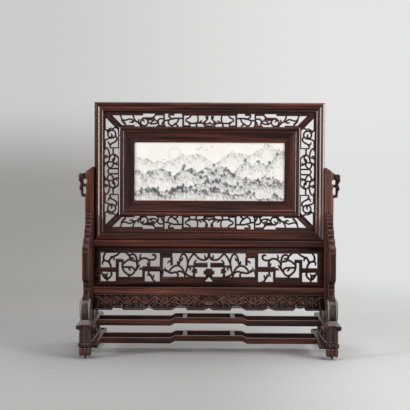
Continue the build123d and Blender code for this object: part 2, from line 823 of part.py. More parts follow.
def apron_outline(place):
    """One half of an apron seen from the front: straight above, lobed and stepped below."""
    deep = apron_drawing_height
    end = apron_drawing_half_width
    step = 30.0
    cusp = 31.0
    path = [
        Line(place(0, 0), place(end, 0)),
        Line(place(end, 0), place(end, deep)),
        Line(place(end, deep), place(224, deep)),
        Line(place(224, deep), place(221, step)),
        Line(place(221, step), place(200, step)),
        Line(place(200, step), place(195, deep)),
        Line(place(195, deep), place(152, deep)),
        ThreePointArc(place(152, deep), place(144, 33.5), place(138.5, cusp)),
        ThreePointArc(place(138.5, cusp), place(133, 33.5), place(125, deep)),
        Line(place(125, deep), place(88, deep)),
        ThreePointArc(place(88, deep), place(82, 34.5), place(76, cusp)),
        Line(place(76, cusp), place(53, cusp)),
        Line(place(53, cusp), place(50, deep)),
        Line(place(50, deep), place(12, deep)),
        ThreePointArc(place(12, deep), place(5, 34), place(0, cusp)),
        Line(place(0, cusp), place(0, 0)),
    ]
    return make_face(path)


def drop(x, z, length, width, turn):
    """A pierced drop: round at one end and pointed at the other."""
    radius = width / 2
    shape = Circle(radius) + polygon((0, radius), (length, 0), (0, -radius))
    return Pos(x, z) * (Rot(0, 0, turn) * shape)


def slot(x, z, length, width, turn=0.0):
    """A pierced slot with round ends."""
    return Pos(x, z) * (Rot(0, 0, turn) * SlotOverall(length, width))


def apron_piercing(place, size):
    """The holes of one half of an apron: a running scroll of drops and slots."""
    holes = []
    groups = ((210, 26), (173, 34), (138.5, 18), (106, 32), (64, 24), (31, 30))
    for centre, span in groups:
        holes.append(slot(*place(centre, 27.5), span * 0.42 * size, 4.2 * size))
        for side in (-1, 1):
            tilt = 90 - 60 * side
            holes.append(drop(*place(centre + side * span * 0.34, 26), 8 * size, 4.6 * size, tilt))
            holes.append(slot(*place(centre + side * span * 0.24, 18.5), 8.5 * size, 3.4 * size, -35 * side))
        holes.append(Pos(*place(centre, 19.5)) * Circle(2.2 * size))
    for centre in (228, 191, 155, 122, 86, 47):
        holes.append(slot(*place(centre, 13), 9 * size, 3.2 * size))
    holes.append(Pos(*place(11, 16.5)) * Circle(2.6 * size))
    holes.append(drop(*place(9, 25.5), 8.5 * size, 4.4 * size, 20))
    return holes


def make_aprons():
    """The front and rear aprons, leaning outward from the underside of the lower rail."""
    half_width = post_inner_x - joint_clearance
    scale_x = half_width / apron_drawing_half_width
    scale_z = apron_height / apron_drawing_height

    def place(x, depth):
        """A point of the drawing: out from the middle and down from the rail, in real size here."""
        return (x * scale_x, -depth * scale_z)

    holes = apron_piercing(place, min(scale_x, scale_z))
    half_face = cut_all(apron_outline(place), holes)
    face = half_face + mirror(half_face, about=Plane.YZ)
    top_strip = rectangle(-half_width, half_width, 0, apron_thickness)
    board = upright(face + top_strip, -apron_thickness / 2, apron_thickness / 2)
    leaning = Pos(0, -apron_top_y, lower_rail_bottom) * (Rot(-apron_lean, 0, 0) * board)
    below = block(-screen_width, screen_width, -plank_length, plank_length, 0, lower_rail_bottom)
    leaning = leaning & below
    tongue = block(
        -post_inner_x + 2,
        post_inner_x - 2,
        -apron_top_y - apron_thickness / 4,
        -apron_top_y + apron_thickness / 4,
        lower_rail_bottom - overshoot,
        lower_rail_bottom + apron_tongue,
    )
    front = leaning + tongue
    save(front, "front_apron")
    save(mirror(front, about=Plane.XZ), "rear_apron")


def post_face():
    """A post seen from the front, with a scalloped head that falls away outward."""
    inner = post_inner_x
    outer = post_outer_x
    step = post_width / 3
    drop_height = post_head_drop
    first = (inner + step, post_top - drop_height * 0.22)
    second = (inner + 2 * step, post_top - drop_height * 0.55)
    third = (outer, post_top - drop_height)
    path = [
        Line((inner, plank_top), (outer, plank_top)),
        Line((outer, plank_top), third),
        ThreePointArc(third, (outer - step * 0.35, post_top - drop_height * 0.66), second),
        ThreePointArc(second, (inner + step * 1.6, post_top - drop_height * 0.28), first),
        ThreePointArc(first, (inner + step * 0.55, post_top - drop_height * 0.02), (inner, post_top)),
        Line((inner, post_top), (inner, plank_top)),
    ]
    return make_face(path)


def post_tenon(clearance=0.0):
    """The tenon under the right post, or its mortise."""
    half_w = post_tenon_width / 2 + clearance
    half_d = post_tenon_depth / 2 + clearance
    low = plank_top - post_tenon_length - clearance
    high = plank_top + overshoot
    return block(post_centre_x - half_w, post_centre_x + half_w, -half_d, half_d, low, high)


def ear_tenons(clearance=0.0):
    """Stub tenons of the right ear, or their mortises in the post."""
    half = ear_tenon_size / 2 + clearance
    base = screen_foot + ear_bottom_above_screen_foot
    boxes = []
    half_height = ear_tenon_half_height + clearance
    reach = post_outer_x - ear_tenon_depth - clearance
    for z in (base + ear_tenon_above_foot, base + ear_height - ear_tenon_below_top):
        boxes.append(block(reach, post_outer_x + overshoot, -half, half, z - half_height, z + half_height))
    return boxes


def bracket_tongue(clearance=0.0):
    """The tongue of the right front bracket, or its groove in the post."""
    half = bracket_tongue_thickness / 2 + clearance
    return block(
        post_centre_x - half,
        post_centre_x + half,
        -half_post_depth - overshoot,
        -half_post_depth + bracket_tongue_depth + clearance,
        plank_top + bracket_tongue_above_plank - clearance,
        bracket_top - bracket_tongue_below_top + clearance,
    )


def make_posts():
    """The two grooved posts."""
    body = upright(post_face(), -half_post_depth, half_post_depth)
    corners = body.edges().filter_by(Axis.Z).group_by(Axis.X)[-1]
    body = chamfer(corners, post_corner_chamfer)
    body = body + post_tenon()
    groove = block(
        post_inner_x - overshoot,
        post_inner_x + tongue_depth - post_gap + slide_clearance,
        -tongue_thickness / 2 - slide_clearance,
        tongue_thickness / 2 + slide_clearance,
        screen_foot,
        post_top + overshoot,
    )
    body = body - groove
    body = body - rail_tenons(upper_rail_bottom, upper_rail_height, joint_clearance)
    body = body - rail_tenons(lower_rail_bottom, lower_rail_height, joint_clearance)
    reach = post_inner_x + panel_tongue + board_clearance
    half = panel_groove_half
    start = post_inner_x - overshoot
    body = body - block(start, reach, -half, half, lower_rail_top, upper_rail_bottom)
    body = body - bracket_tongue(joint_clearance)
    body = body - mirror(bracket_tongue(joint_clearance), about=Plane.XZ)
    body = cut_all(body, ear_tenons(joint_clearance))
    save(body, "right_post")
    save(mirror(body, about=Plane.YZ), "left_post")


def make_ears():
    """Openwork ears on the outer sides of the post heads."""
    x0 = post_outer_x
    unit = ear_reach / ear_drawing_width
    z0 = screen_foot + ear_bottom_above_screen_foot
    height = ear_height

    def at(x, share):
        """A point out from the post and up the ear's height."""
        return (x0 + x * unit, z0 + height * share)

    outline = [
        Line(at(0, 0), at(6.5, 0.01)),
        ThreePointArc(at(6.5, 0.01), at(9.6, 0.055), at(10.4, 0.13)),
        Line(at(10.4, 0.13), at(11.2, 0.28)),
        ThreePointArc(at(11.2, 0.28), at(15, 0.38), at(12, 0.48)),
        ThreePointArc(at(12, 0.48), at(11.4, 0.56), at(13, 0.64)),
        ThreePointArc(at(13, 0.64), at(16.5, 0.72), at(14.6, 0.82)),
        ThreePointArc(at(14.6, 0.82), at(16.3, 0.93), at(13, 1)),
        Line(at(13, 1), at(3, 1)),
        Line(at(3, 1), at(0, 0.955)),
        Line(at(0, 0.955), at(0, 0)),
    ]
    face = make_face(outline)
    face = face - Pos(*at(1.6, 0.29)) * RectangleRounded(8.6 * unit, height * 0.31, 2.2 * unit)
    face = face - Pos(*at(1.6, 0.665)) * RectangleRounded(7.4 * unit, height * 0.2, 2.2 * unit)
    right = upright(face, -ear_thickness / 2, ear_thickness / 2)
    right = right + ear_tenons()
    save(right, "right_ear")
    save(mirror(right, about=Plane.YZ), "left_ear")


def bracket_place(reach, depth):
    """A point of the bracket's drawing in real size: out from the post and down from the top."""
    span = bracket_top - plank_top
    across = reach * bracket_reach / bracket_drawing_width
    return (across, bracket_top - depth * span / bracket_drawing_height)


def bracket_outline():
    """A standing bracket: three scalloped steps, a straight edge, a neck and a cap on the drum."""
    at = bracket_place
    drum_reach = drum_centre_y - half_post_depth
    clear_radius = drum_radius + drum_clearance

    def on_drum(degrees):
        """A point that clears the drum's wall, at an angle round it."""
        angle = math.radians(degrees)
        return (drum_reach + clear_radius * math.cos(angle), drum_centre_z + clear_radius * math.sin(angle))

    cap_top = drum_centre_z + drum_radius + bracket_cap_above_drum
    neck = at(64, 175)[0]
    heel = on_drum(215)
    foot = (0, plank_top)
    path = [
        Line(foot, at(0, 0)),
        ThreePointArc(at(0, 0), at(8, 3), at(12, 10)),
        Line(at(12, 10), at(14.5, 15)),
        ThreePointArc(at(14.5, 15), at(23, 17), at(26, 26)),
        Line(at(26, 26), at(29, 33)),
        ThreePointArc(at(29, 33), at(39, 36), at(43, 46)),
        Line(at(43, 46), at(46, 54)),
        ThreePointArc(at(46, 54), at(62, 56), at(70, 68)),
        ThreePointArc(at(70, 68), at(83, 72), at(89, 84)),
        Line(at(89, 84), at(89, 135.5)),
        ThreePointArc(at(89, 135.5), at(85, 147.8), at(75, 151.5)),
        ThreePointArc(at(75, 151.5), at(64, 162.5), at(64, 175)),
        Line(at(64, 175), (neck + 3, cap_top + 3)),
        Line((neck + 3, cap_top + 3), (neck + 19, cap_top)),
        Line((neck + 19, cap_top), on_drum(66)),
        ThreePointArc(on_drum(66), on_drum(138), heel),
        Line(heel, (heel[0], plank_top)),
        Line((heel[0], plank_top), foot),
    ]
    return make_face(path)


# The bracket's pierced work: wavy slots as lines, and scroll slots as centre, radius, start angle
# and hand, out from the post and down from the bracket's top.
bracket_slots = [
    [(6, 24), (11, 32), (9, 44), (14, 54)],
    [(30, 72), (38, 84), (36, 98), (42, 108)],
    [(12, 62), (22, 74), (20, 92), (29, 104)],
    [(50, 140), (56, 150), (52, 162)],
    [(12, 124), (14, 138), (24, 146)],
    [(34, 176), (30, 188), (36, 198)],
    [(10, 186), (16, 198), (12, 210)],
]
bracket_curls = [
    (20, 36, 6.5, 160, 1),
    (34, 55, 8, 150, 1),
    (56, 76, 11, 140, 1),
    (73, 98, 10, 100, -1),
    (57, 123, 10.5, 60, -1),
    (14, 106, 8, 80, 1),
    (33, 126, 9.5, 120, 1),
    (39, 158, 8, 150, -1),
    (17, 168, 9, 90, 1),
    (26, 218, 8, 100, -1),
]


def bracket_face():
    """The bracket's outline, pierced."""
    holes = []
    for line in bracket_slots:
        points = [bracket_place(reach, depth) for reach, depth in line]
        holes.append(stem(points, curl_width, curl_tip_width))
    size = min(bracket_reach / bracket_drawing_width, (bracket_top - plank_top) / bracket_drawing_height)
    for reach, depth, radius, start, hand in bracket_curls:
        holes.append(curl(*bracket_place(reach, depth), radius * size, start, hand))
    return cut_all(bracket_outline(), holes)


def make_brackets():
    """Four standing brackets, front and rear of each post."""
    face = mirror(bracket_face(), about=Plane.YZ)
    board = sideways(face, post_centre_x - bracket_thickness / 2, post_centre_x + bracket_thickness / 2)
    board = Pos(0, -half_post_depth, 0) * board
    board = board + bracket_tongue()
    save(board, "right_front_bracket")
    save(mirror(board, about=Plane.XZ), "right_rear_bracket")
    left = mirror(board, about=Plane.YZ)
    save(left, "left_front_bracket")
    save(mirror(left, about=Plane.XZ), "left_rear_bracket")


def drum():
    """A drum with a rim at each end of its rounded wall and a boss on each face."""
    half = drum_width / 2
    radius = drum_radius
    wall = radius - drum_rim_height
    rim = drum_rim_width
    round_in = 3.0
    face = half - drum_face_recess
    boss_face = face + drum_boss_height
    border = radius - 7.0
    border_slope = 0.5
    rim_slope = 1.2
    path = [
        Line((0, 0), (boss_face, 0)),
        Line((boss_face, 0), (boss_face, drum_boss_radius)),
        Line((boss_face, drum_boss_radius), (face, drum_boss_radius)),
        Line((face, drum_boss_radius), (face, border - border_slope)),
        Line((face, border - border_slope), (half, border)),
        Line((half, border), (half, radius - round_in)),
        ThreePointArc(
            (half, radius - round_in),
            (half - round_in * 0.29, radius - round_in * 0.29),
            (half - round_in, radius),
        ),
        Line((half - round_in, radius), (half - round_in - rim + rim_slope, wall)),
        Line((half - round_in - rim + rim_slope, wall), (0, wall)),
        Line((0, wall), (0, 0)),
    ]
    half_drum = revolve(make_face(path), Axis.X, 360)
    whole = half_drum + mirror(half_drum, about=Plane.YZ)
    pad = block(
        -drum_pad_width / 2,
        drum_pad_width / 2,
        -drum_pad_length / 2,
        drum_pad_length / 2,
        plank_top - drum_centre_z,
        plank_top - drum_centre_z + drum_pad_height,
    )
    return whole + pad


def plank():
    """The sled plank of the right side, its long edges rounded."""
    x0 = plank_inner_x
    x1 = plank_inner_x + plank_width
    body = block(x0, x1, -plank_length / 2, plank_length / 2, leg_height, plank_top)
    body = fillet(body.edges().filter_by(Axis.Y), min(plank_edge_radius, plank_thickness * 0.42))
    ends = body.edges().group_by(Axis.Y)
    body = chamfer(ends[0] + ends[-1], plank_end_chamfer)
    return body


def leg_tenon(clearance=0.0):
    """The tenon on top of a leg, or its mortise, about the leg's centre."""
    half = leg_tenon_size / 2 + clearance
    high = leg_height + leg_tenon_length + clearance
    return block(-half, half, -half, half, leg_height - overshoot, high)


def leg():
    """A leg about its own centre: body, collar of petals, three-lobed paw and tip."""
    half = leg_width / 2
    body = block(-half, half, -half, half, collar_top, leg_height)
    body = chamfer(body.edges().filter_by(Axis.Z), 1.5)
    edge = half - shield_margin
    foot = collar_top + 2.0
    spring = leg_height - 10.0
    crown = leg_height - 2.0
    arch = [
        Line((-edge, foot), (edge, foot)),
        Line((edge, foot), (edge, spring)),
        ThreePointArc((edge, spring), (edge - 2.5, spring + 4.5), (0, crown)),
        ThreePointArc((0, crown), (-edge + 2.5, spring + 4.5), (-edge, spring)),
        Line((-edge, spring), (-edge, foot)),
    ]
    for turn in (0, 90, 180, 270):
        shield = upright(make_face(arch), -half - shield_height, -half + overshoot)
        body = body + Rot(0, 0, turn) * shield
    wide = half + collar_overhang
    collar = block(-wide, wide, -wide, wide, collar_bottom, collar_top)
    collar = chamfer(collar.edges().filter_by(Axis.Z), 2.5)
    collar = fillet(collar.faces().sort_by(Axis.Z)[-1].edges(), 2.0)
    collar = chamfer(collar.faces().sort_by(Axis.Z)[0].edges(), 2.2)
    core = paw_core_width / 2
    paw = block(-core, core, -core, core, paw_bottom, collar_bottom + 1)
    lobe_reach = half - paw_lobe_radius
    for x in (-lobe_reach, 0, lobe_reach):
        for y in (-lobe_reach, 0, lobe_reach):
            height = collar_bottom - paw_bottom
            lobe = Pos(x, y, paw_bottom + height / 2) * Cylinder(paw_lobe_radius, height)
            if x or y:
                paw = paw + chamfer(lobe.edges().filter_by(GeomType.CIRCLE).sort_by(Axis.Z)[0], 1.6)
    tip_top = Plane.XY.offset(paw_bottom + 0.5) * Rectangle(tip_top_width, tip_top_width)
    tip_foot = Rectangle(tip_foot_width, tip_foot_width)
    tip = loft([tip_foot, tip_top])
    return body + collar + paw + tip + leg_tenon()


def side_rail():
    """The low rail inside the right legs: beaded top edges and a scroll at each end."""
    x0 = side_rail_inner_x
    x1 = leg_inner_x
    end = leg_centre_y + leg_width / 2 - side_rail_scroll_inset
    low = side_rail_bottom
    high = side_rail_bottom + side_rail_height
    scroll = side_rail_scroll_length
    outline = [
        Line((-end + scroll, low + 3), (end - scroll, low + 3)),
        ThreePointArc((end - scroll, low + 3), (end - scroll + 2, low + 0.9), (end - scroll + 4, low)),
        Line((end - scroll + 4, low), (end - 4, low)),
        ThreePointArc((end - 4, low), (end, low + 5), (end - 4, low + 10)),
        ThreePointArc((end - 4, low + 10), (end - 7, high - 1.2), (end - 12, high)),
        Line((end - 12, high), (-end + 12, high)),
        ThreePointArc((-end + 12, high), (-end + 7, high - 1.2), (-end + 4, low + 10)),
        ThreePointArc((-end + 4, low + 10), (-end, low + 5), (-end + 4, low)),
        Line((-end + 4, low), (-end + scroll - 4, low)),
        ThreePointArc((-end + scroll - 4, low), (-end + scroll - 2, low + 0.9), (-end + scroll, low + 3)),
    ]
    body = sideways(make_face(outline), x0, x1)
    bead = side_rail_bead_width
    gutter_end = end - side_rail_gutter_inset
    gutter_floor = high - side_rail_gutter_depth
    return body - block(x0 + bead, x1 - bead, -gutter_end, gutter_end, gutter_floor, high + overshoot)


def side_rail_seat():
    """The space of the right side rail, which the petals of the leg collars are cut back to."""
    reach = plank_length / 2
    low = side_rail_bottom - joint_clearance
    high = side_rail_bottom + side_rail_height + joint_clearance
    return block(side_rail_inner_x, leg_inner_x, -reach, reach, low, high)


def side_rail_tenons(clearance=0.0):
    """Stub tenons from the right side rail into its two legs, or their mortises."""
    half = side_rail_tenon_size / 2 + clearance
    mid = side_rail_bottom + side_rail_height / 2 + 1.5
    boxes = []
    for side in (-1, 1):
        y = side * leg_centre_y
        reach = leg_inner_x + side_rail_tenon_length + clearance
        start = leg_inner_x - overshoot
        boxes.append(block(start, reach, y - half, y + half, mid - half / 2, mid + half / 2))
    return boxes


def stretcher_mortises(z_low, inner_x):
    """Mortises for the right ends of the front and rear stretchers of one level."""
    half_t = stretcher_tenon_thickness / 2 + joint_clearance
    mid = z_low + stretcher_height / 2 - stretcher_tenon_drop
    half_h = stretcher_tenon_height / 2 + joint_clearance
    reach = inner_x + stretcher_tenon_length + joint_clearance
    boxes = []
    for side in (-1, 1):
        y = side * stretcher_centre_y
        start = inner_x - overshoot
        boxes.append(block(start, reach, y - half_t, y + half_t, mid - half_h, mid + half_h))
    return boxes


def make_feet():
    """Planks, drums, legs and side rails of both sides."""
    right_plank = plank() - post_tenon(joint_clearance)
    right_plank = cut_all(right_plank, stretcher_mortises(upper_stretcher_bottom, plank_inner_x))
    one_drum = drum()
    one_leg = leg()
    right_side_rail = side_rail() + side_rail_tenons()
    right_side_rail = cut_all(right_side_rail, stretcher_mortises(lower_stretcher_bottom, side_rail_inner_x))
    for side in (-1, 1):
        end = "front" if side < 0 else "rear"
        leg_place = Pos(post_centre_x, side * leg_centre_y, 0)
        right_plank = right_plank - leg_place * leg_tenon(joint_clearance)
        placed_leg = cut_all(leg_place * one_leg - side_rail_seat(), side_rail_tenons(joint_clearance))
        save(placed_leg, f"right_{end}_leg")
        save(mirror(placed_leg, about=Plane.YZ), f"left_{end}_leg")
        placed_drum = Pos(post_centre_x, side * drum_centre_y, drum_centre_z) * one_drum
        save(placed_drum, f"right_{end}_drum")
        save(mirror(placed_drum, about=Plane.YZ), f"left_{end}_drum")
    save(right_plank, "right_plank")
    save(mirror(right_plank, about=Plane.YZ), "left_plank")
    save(right_side_rail, "right_side_rail")
    save(mirror(right_side_rail, about=Plane.YZ), "left_side_rail")


def stretcher_face(z_low, end_x):
    """A stretcher seen from the front, raised over its middle stretch."""
    half = hump_half_width
    foot = half + hump_run
    low = z_low
    high = z_low + stretcher_height
    return polygon(
        (-end_x, low),
        (-foot, low),
        (-half, low + hump_rise),
        (half, low + hump_rise),
        (foot, low),
        (end_x, low),
        (end_x, high),
        (foot, high),
        (half, high + hump_rise),
        (-half, high + hump_rise),
        (-foot, high),
        (-end_x, high),
    )


def cross_tenons(z_top, clearance=0.0):
    """Tenons of both cross-pieces of one level, or their mortises in the front stretcher."""
    mid = z_top - cross_piece_height / 2
    half_w = cross_tenon_width / 2 + clearance
    half_h = cross_tenon_height / 2 + clearance
    inside = stretcher_centre_y - stretcher_thickness / 2
    reach = inside + cross_tenon_length + clearance
    boxes = []
    for x in (-cross_piece_x, cross_piece_x):
        boxes.append(block(x - half_w, x + half_w, -reach, reach, mid - half_h, mid + half_h))
    return boxes


def make_stretchers():
    """Hump-backed stretchers at two levels, joined by cross-pieces under the humps."""
    levels = (
        ("upper", upper_stretcher_bottom, plank_inner_x),
        ("lower", lower_stretcher_bottom, side_rail_inner_x),
    )
    for level, z_low, end_x in levels:
        z_top = z_low + stretcher_height + hump_rise - cross_piece_drop
        mid = z_low + stretcher_height / 2 - stretcher_tenon_drop
        half_h = stretcher_tenon_height / 2
        half_t = stretcher_tenon_thickness / 2
        y = stretcher_centre_y
        face = stretcher_face(z_low, end_x)
        body = upright(face, -y - stretcher_thickness / 2, -y + stretcher_thickness / 2)
        reach = end_x + stretcher_tenon_length
        for side in (-1, 1):
            low_x, high_x = sorted((side * (end_x - overshoot), side * reach))
            body = body + block(low_x, high_x, -y - half_t, -y + half_t, mid - half_h, mid + half_h)
        body = cut_all(body, cross_tenons(z_top, joint_clearance))
        save(body, f"{level}_front_stretcher")
        save(mirror(body, about=Plane.XZ), f"{level}_rear_stretcher")
        inside = y - stretcher_thickness / 2
        tenons = cross_tenons(z_top)
        for x, tenon, side in zip((-cross_piece_x, cross_piece_x), tenons, ("left", "right")):
            half = cross_piece_width / 2
            piece = block(x - half, x + half, -inside, inside, z_top - cross_piece_height, z_top)
            save(piece + tenon, f"{level}_{side}_cross_piece")


make_frames()
make_plaque()
make_long_fret()
make_side_frets()
make_lower_panel()
make_rails()
make_aprons()
make_posts()
make_ears()
make_brackets()
make_feet()
make_stretchers()
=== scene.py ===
import math
import random

import bmesh
import bpy
from mathutils import Euler, Matrix, Vector, noise


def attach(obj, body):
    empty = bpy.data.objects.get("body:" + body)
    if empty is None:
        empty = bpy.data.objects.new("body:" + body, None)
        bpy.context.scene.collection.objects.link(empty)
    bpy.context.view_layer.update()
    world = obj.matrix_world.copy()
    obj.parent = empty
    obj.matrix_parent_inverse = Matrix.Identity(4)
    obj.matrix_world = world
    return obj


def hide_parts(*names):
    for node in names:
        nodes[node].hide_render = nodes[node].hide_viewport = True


# A carved hardwood table screen with a painted ceramic plaque. Metres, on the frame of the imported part.
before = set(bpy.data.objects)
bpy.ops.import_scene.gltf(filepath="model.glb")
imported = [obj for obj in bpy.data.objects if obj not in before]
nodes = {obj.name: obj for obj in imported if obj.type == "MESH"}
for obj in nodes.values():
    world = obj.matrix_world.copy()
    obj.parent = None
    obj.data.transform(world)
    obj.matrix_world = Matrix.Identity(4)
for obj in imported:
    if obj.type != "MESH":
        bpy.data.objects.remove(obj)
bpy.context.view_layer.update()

MM = 0.001
FRONT = Vector((0, -1, 0))
BACK = Vector((0, 1, 0))
RIGHT = Vector((1, 0, 0))
LEFT = Vector((-1, 0, 0))


# Finishes


def linear(hex_colour):
    """An sRGB hex colour in the linear values that the shader sockets take."""
    parts = [int(hex_colour[i : i + 2], 16) / 255 for i in (1, 3, 5)]
    return [c / 12.92 if c <= 0.04045 else ((c + 0.055) / 1.055) ** 2.4 for c in parts] + [1.0]


def add_node(tree, kind, values=None, links=None, **settings):
    """One shader node: its own settings, and its input values and links by name or place."""
    node = tree.nodes.new(kind)
    for name, value in settings.items():
        setattr(node, name, value)
    for name, value in (values or {}).items():
        node.inputs[name].default_value = value
    for name, output in (links or {}).items():
        tree.links.new(output, node.inputs[name])
    return node


def feed(tree, socket, source):
    """Links an input to a socket, or sets it to a value."""
    if isinstance(source, bpy.types.NodeSocket):
        tree.links.new(source, socket)
    else:
        socket.default_value = source


def maths(tree, operation, *sources):
    """The result of one operation on sockets or numbers."""
    node = add_node(tree, "ShaderNodeMath", operation=operation)
    for socket, source in zip(node.inputs, sources):
        feed(tree, socket, source)
    return node.outputs[0]


def mix(tree, factor, first, second, mode="MIX"):
    """Two colours mixed by a factor."""
    node = add_node(tree, "ShaderNodeMix", data_type="RGBA", blend_type=mode)
    for place, source in ((0, factor), (6, first), (7, second)):
        feed(tree, node.inputs[place], source)
    return node.outputs[2]


def ramp(tree, source, *stops):
    """A value turned into a colour, with a hex colour or a grey level at each stop."""
    node = add_node(tree, "ShaderNodeValToRGB", links={"Fac": source})
    elements = node.color_ramp.elements
    while len(elements) < len(stops):
        elements.new(0.5)
    for element, (place, colour) in zip(elements, stops):
        element.position = place
        element.color = linear(colour) if isinstance(colour, str) else [colour] * 3 + [1.0]
    return node.outputs["Color"]


def remap(tree, source, low, high, low_to=0.0, high_to=1.0, smooth=False):
    """A value taken from one range to another and held inside it."""
    values = {"From Min": low, "From Max": high, "To Min": low_to, "To Max": high_to}
    curve = "SMOOTHSTEP" if smooth else "LINEAR"
    node = add_node(tree, "ShaderNodeMapRange", values, {"Value": source}, interpolation_type=curve)
    return node.outputs["Result"]


def drawn_noise(tree, place, lengths, detail, roughness=0.5):
    """Noise drawn out to a length in millimetres along each axis."""
    scale = [1 / (length * MM) for length in lengths]
    mapping = add_node(tree, "ShaderNodeMapping", {"Scale": scale}, {"Vector": place})
    values = {"Scale": 1.0, "Detail": detail, "Roughness": roughness}
    return add_node(tree, "ShaderNodeTexNoise", values, {"Vector": mapping.outputs[0]}).outputs["Fac"]


def stored(tree, name):
    """A value that the mesh carries under a name."""
    return add_node(tree, "ShaderNodeAttribute", attribute_name=name).outputs["Fac"]


def new_material(name):
    """An empty node material, its tree, and the place on the part that its patterns follow."""
    material = bpy.data.materials.new(name)
    material.use_nodes = True
    tree = material.node_tree
    tree.nodes.clear()
    return material, tree, add_node(tree, "ShaderNodeTexCoord").outputs["Object"]


def give_surface(tree, values, links):
    """Ends a material in one surface shader."""
    shader = add_node(tree, "ShaderNodeBsdfPrincipled", values, links)
    add_node(tree, "ShaderNodeOutputMaterial", links={"Surface": shader.outputs[0]})


# The left stile's rounded arris stays dark. It is 6 mm wide, from -0.265 to -0.259 across, and a flat
# 2 mm wide lies between it and the wide bead. The painted highlight starts in the middle of that flat.
UNHIGHLIT_EDGE_X = -0.258


def waxed_rosewood(
    name, grain, tones, dust_and_sheen_share=0.28, arris_highlight_share=0.0, bead_highlight_share=0.0, wear_and_highlight_tone="#8d5f50"
):
    """Rosewood, planed or carved and waxed. Its grain runs along one axis: long dark streaks on a
    red-brown ground, short open pores, paler worn edges and painted highlights on crests. Upward
    faces carry a grey of dust in old wax and painted sheen of the light above, carved work takes
    painted shade in its depths, and the outer side of upright beads carries a painted highlight."""
    material, tree, place = new_material(name)

    def streaks(width, length, detail):
        """Noise drawn out along the grain, in real millimetres."""
        lengths = [width] * 3
        lengths["XYZ".index(grain)] = length
        return drawn_noise(tree, place, lengths, detail, 0.55)

    heart, body, sap = tones
    ground = ramp(tree, streaks(9, 240, 3), (0.34, heart), (0.5, body), (0.66, sap))
    fine = streaks(1.6, 60, 2)
    grained = mix(tree, 0.85, ground, ramp(tree, fine, (0.32, 0.45), (0.6, 1.0)), "MULTIPLY")
    # Pores of 0.4 by 5 mm are drawn a little wider, at 0.8 by 9 mm, so that they show at all.
    pore_mask = remap(tree, streaks(0.8, 9, 1), 0.62, 0.72)
    grained = mix(tree, pore_mask, grained, linear("#150c09"))
    # Painted shade in carved depths, then paler worn edges with painted highlights.
    grained = mix(tree, stored(tree, "painted_shade"), grained, linear("#140b09"))
    grained = mix(tree, stored(tree, "wear_and_highlight"), grained, linear(wear_and_highlight_tone))
    normal = add_node(tree, "ShaderNodeNewGeometry").outputs["Normal"]
    facing = add_node(tree, "ShaderNodeSeparateXYZ", links={"Vector": normal}).outputs
    # A painted highlight on the outer side of upright beads, set by which way each face turns.
    if arris_highlight_share:
        across = add_node(tree, "ShaderNodeSeparateXYZ", links={"Vector": place}).outputs["X"]
        outward = maths(tree, "MULTIPLY", facing["X"], maths(tree, "SIGN", across))
        painted_highlight = ramp(
            tree,
            outward,
            (0.08, 0.0),
            (0.24, bead_highlight_share),
            (0.38, bead_highlight_share),
            (0.5, arris_highlight_share),
            (0.74, arris_highlight_share),
            (0.88, 0.0),
        )
        highlight_side = maths(tree, "GREATER_THAN", across, UNHIGHLIT_EDGE_X)
        grained = mix(tree, maths(tree, "MULTIPLY", painted_highlight, highlight_side), grained, linear("#e0cdc7"))
    # Upward faces turn grey: dust in old wax and painted sheen of the light above.
    dust_and_sheen = remap(tree, facing["Z"], 0.55, 1.0, 0.0, dust_and_sheen_share)
    colour = mix(tree, dust_and_sheen, grained, linear("#857873"))
    roughness = remap(tree, fine, 0.3, 0.75, 0.3, 0.46)
    relief = maths(tree, "MULTIPLY_ADD", pore_mask, -0.6, fine)
    bump = add_node(tree, "ShaderNodeBump", {"Strength": 0.35, "Distance": 0.0003}, {"Height": relief})
    give_surface(
        tree,
        {"Specular IOR Level": 0.16, "Coat Weight": 0.08, "Coat Roughness": 0.15},
        {"Base Color": colour, "Roughness": roughness, "Normal": bump.outputs[0]},
    )
    return material


def glazed_porcelain():
    """White porcelain painted in grey wash under a clear glaze: soft brushed tones from the painted
    attributes, a faint warm unevenness in the body, and the glaze's clear shine."""
    material, tree, place = new_material("glazed_porcelain")
    values = {"Scale": 1 / (40 * MM), "Detail": 3.0}
    cloud = add_node(tree, "ShaderNodeTexNoise", values, {"Vector": place}).outputs["Fac"]
    body = ramp(tree, cloud, (0.35, "#ece8e1"), (0.7, "#f4f1ec"))
    # Brush hairs leave streaks about 0.7 mm wide in the wash, drawn at 1.2 mm.
    hairs = drawn_noise(tree, place, (1.2, 1000, 5), 4.0)
    brushed = maths(tree, "MULTIPLY", stored(tree, "wash"), remap(tree, hairs, 0.3, 0.7, 0.45))
    grey = mix(tree, brushed, body, linear("#63676d"))
    colour = mix(tree, stored(tree, "ink"), grey, linear("#34363a"))
    give_surface(
        tree,
        {"Roughness": 0.32, "IOR": 1.5, "Coat Weight": 0.3, "Coat Roughness": 0.12},
        {"Base Color": colour},
    )
    return material


def planed_softwood():
    """Plain camphor board behind the plaque, planed and left without wax: dull, brown and evenly grained."""
    material, tree, place = new_material("planed_camphor")
    rings = drawn_noise(tree, place, (90, 3, 3), 4.0)
    colour = ramp(tree, rings, (0.3, "#6d4f38"), (0.7, "#9a7656"))
    bump = add_node(tree, "ShaderNodeBump", {"Strength": 0.4, "Distance": 0.0002}, {"Height": rings})
    give_surface(
        tree, {"Roughness": 0.7, "IOR": 1.45}, {"Base Color": colour, "Normal": bump.outputs[0]}
    )
    return material


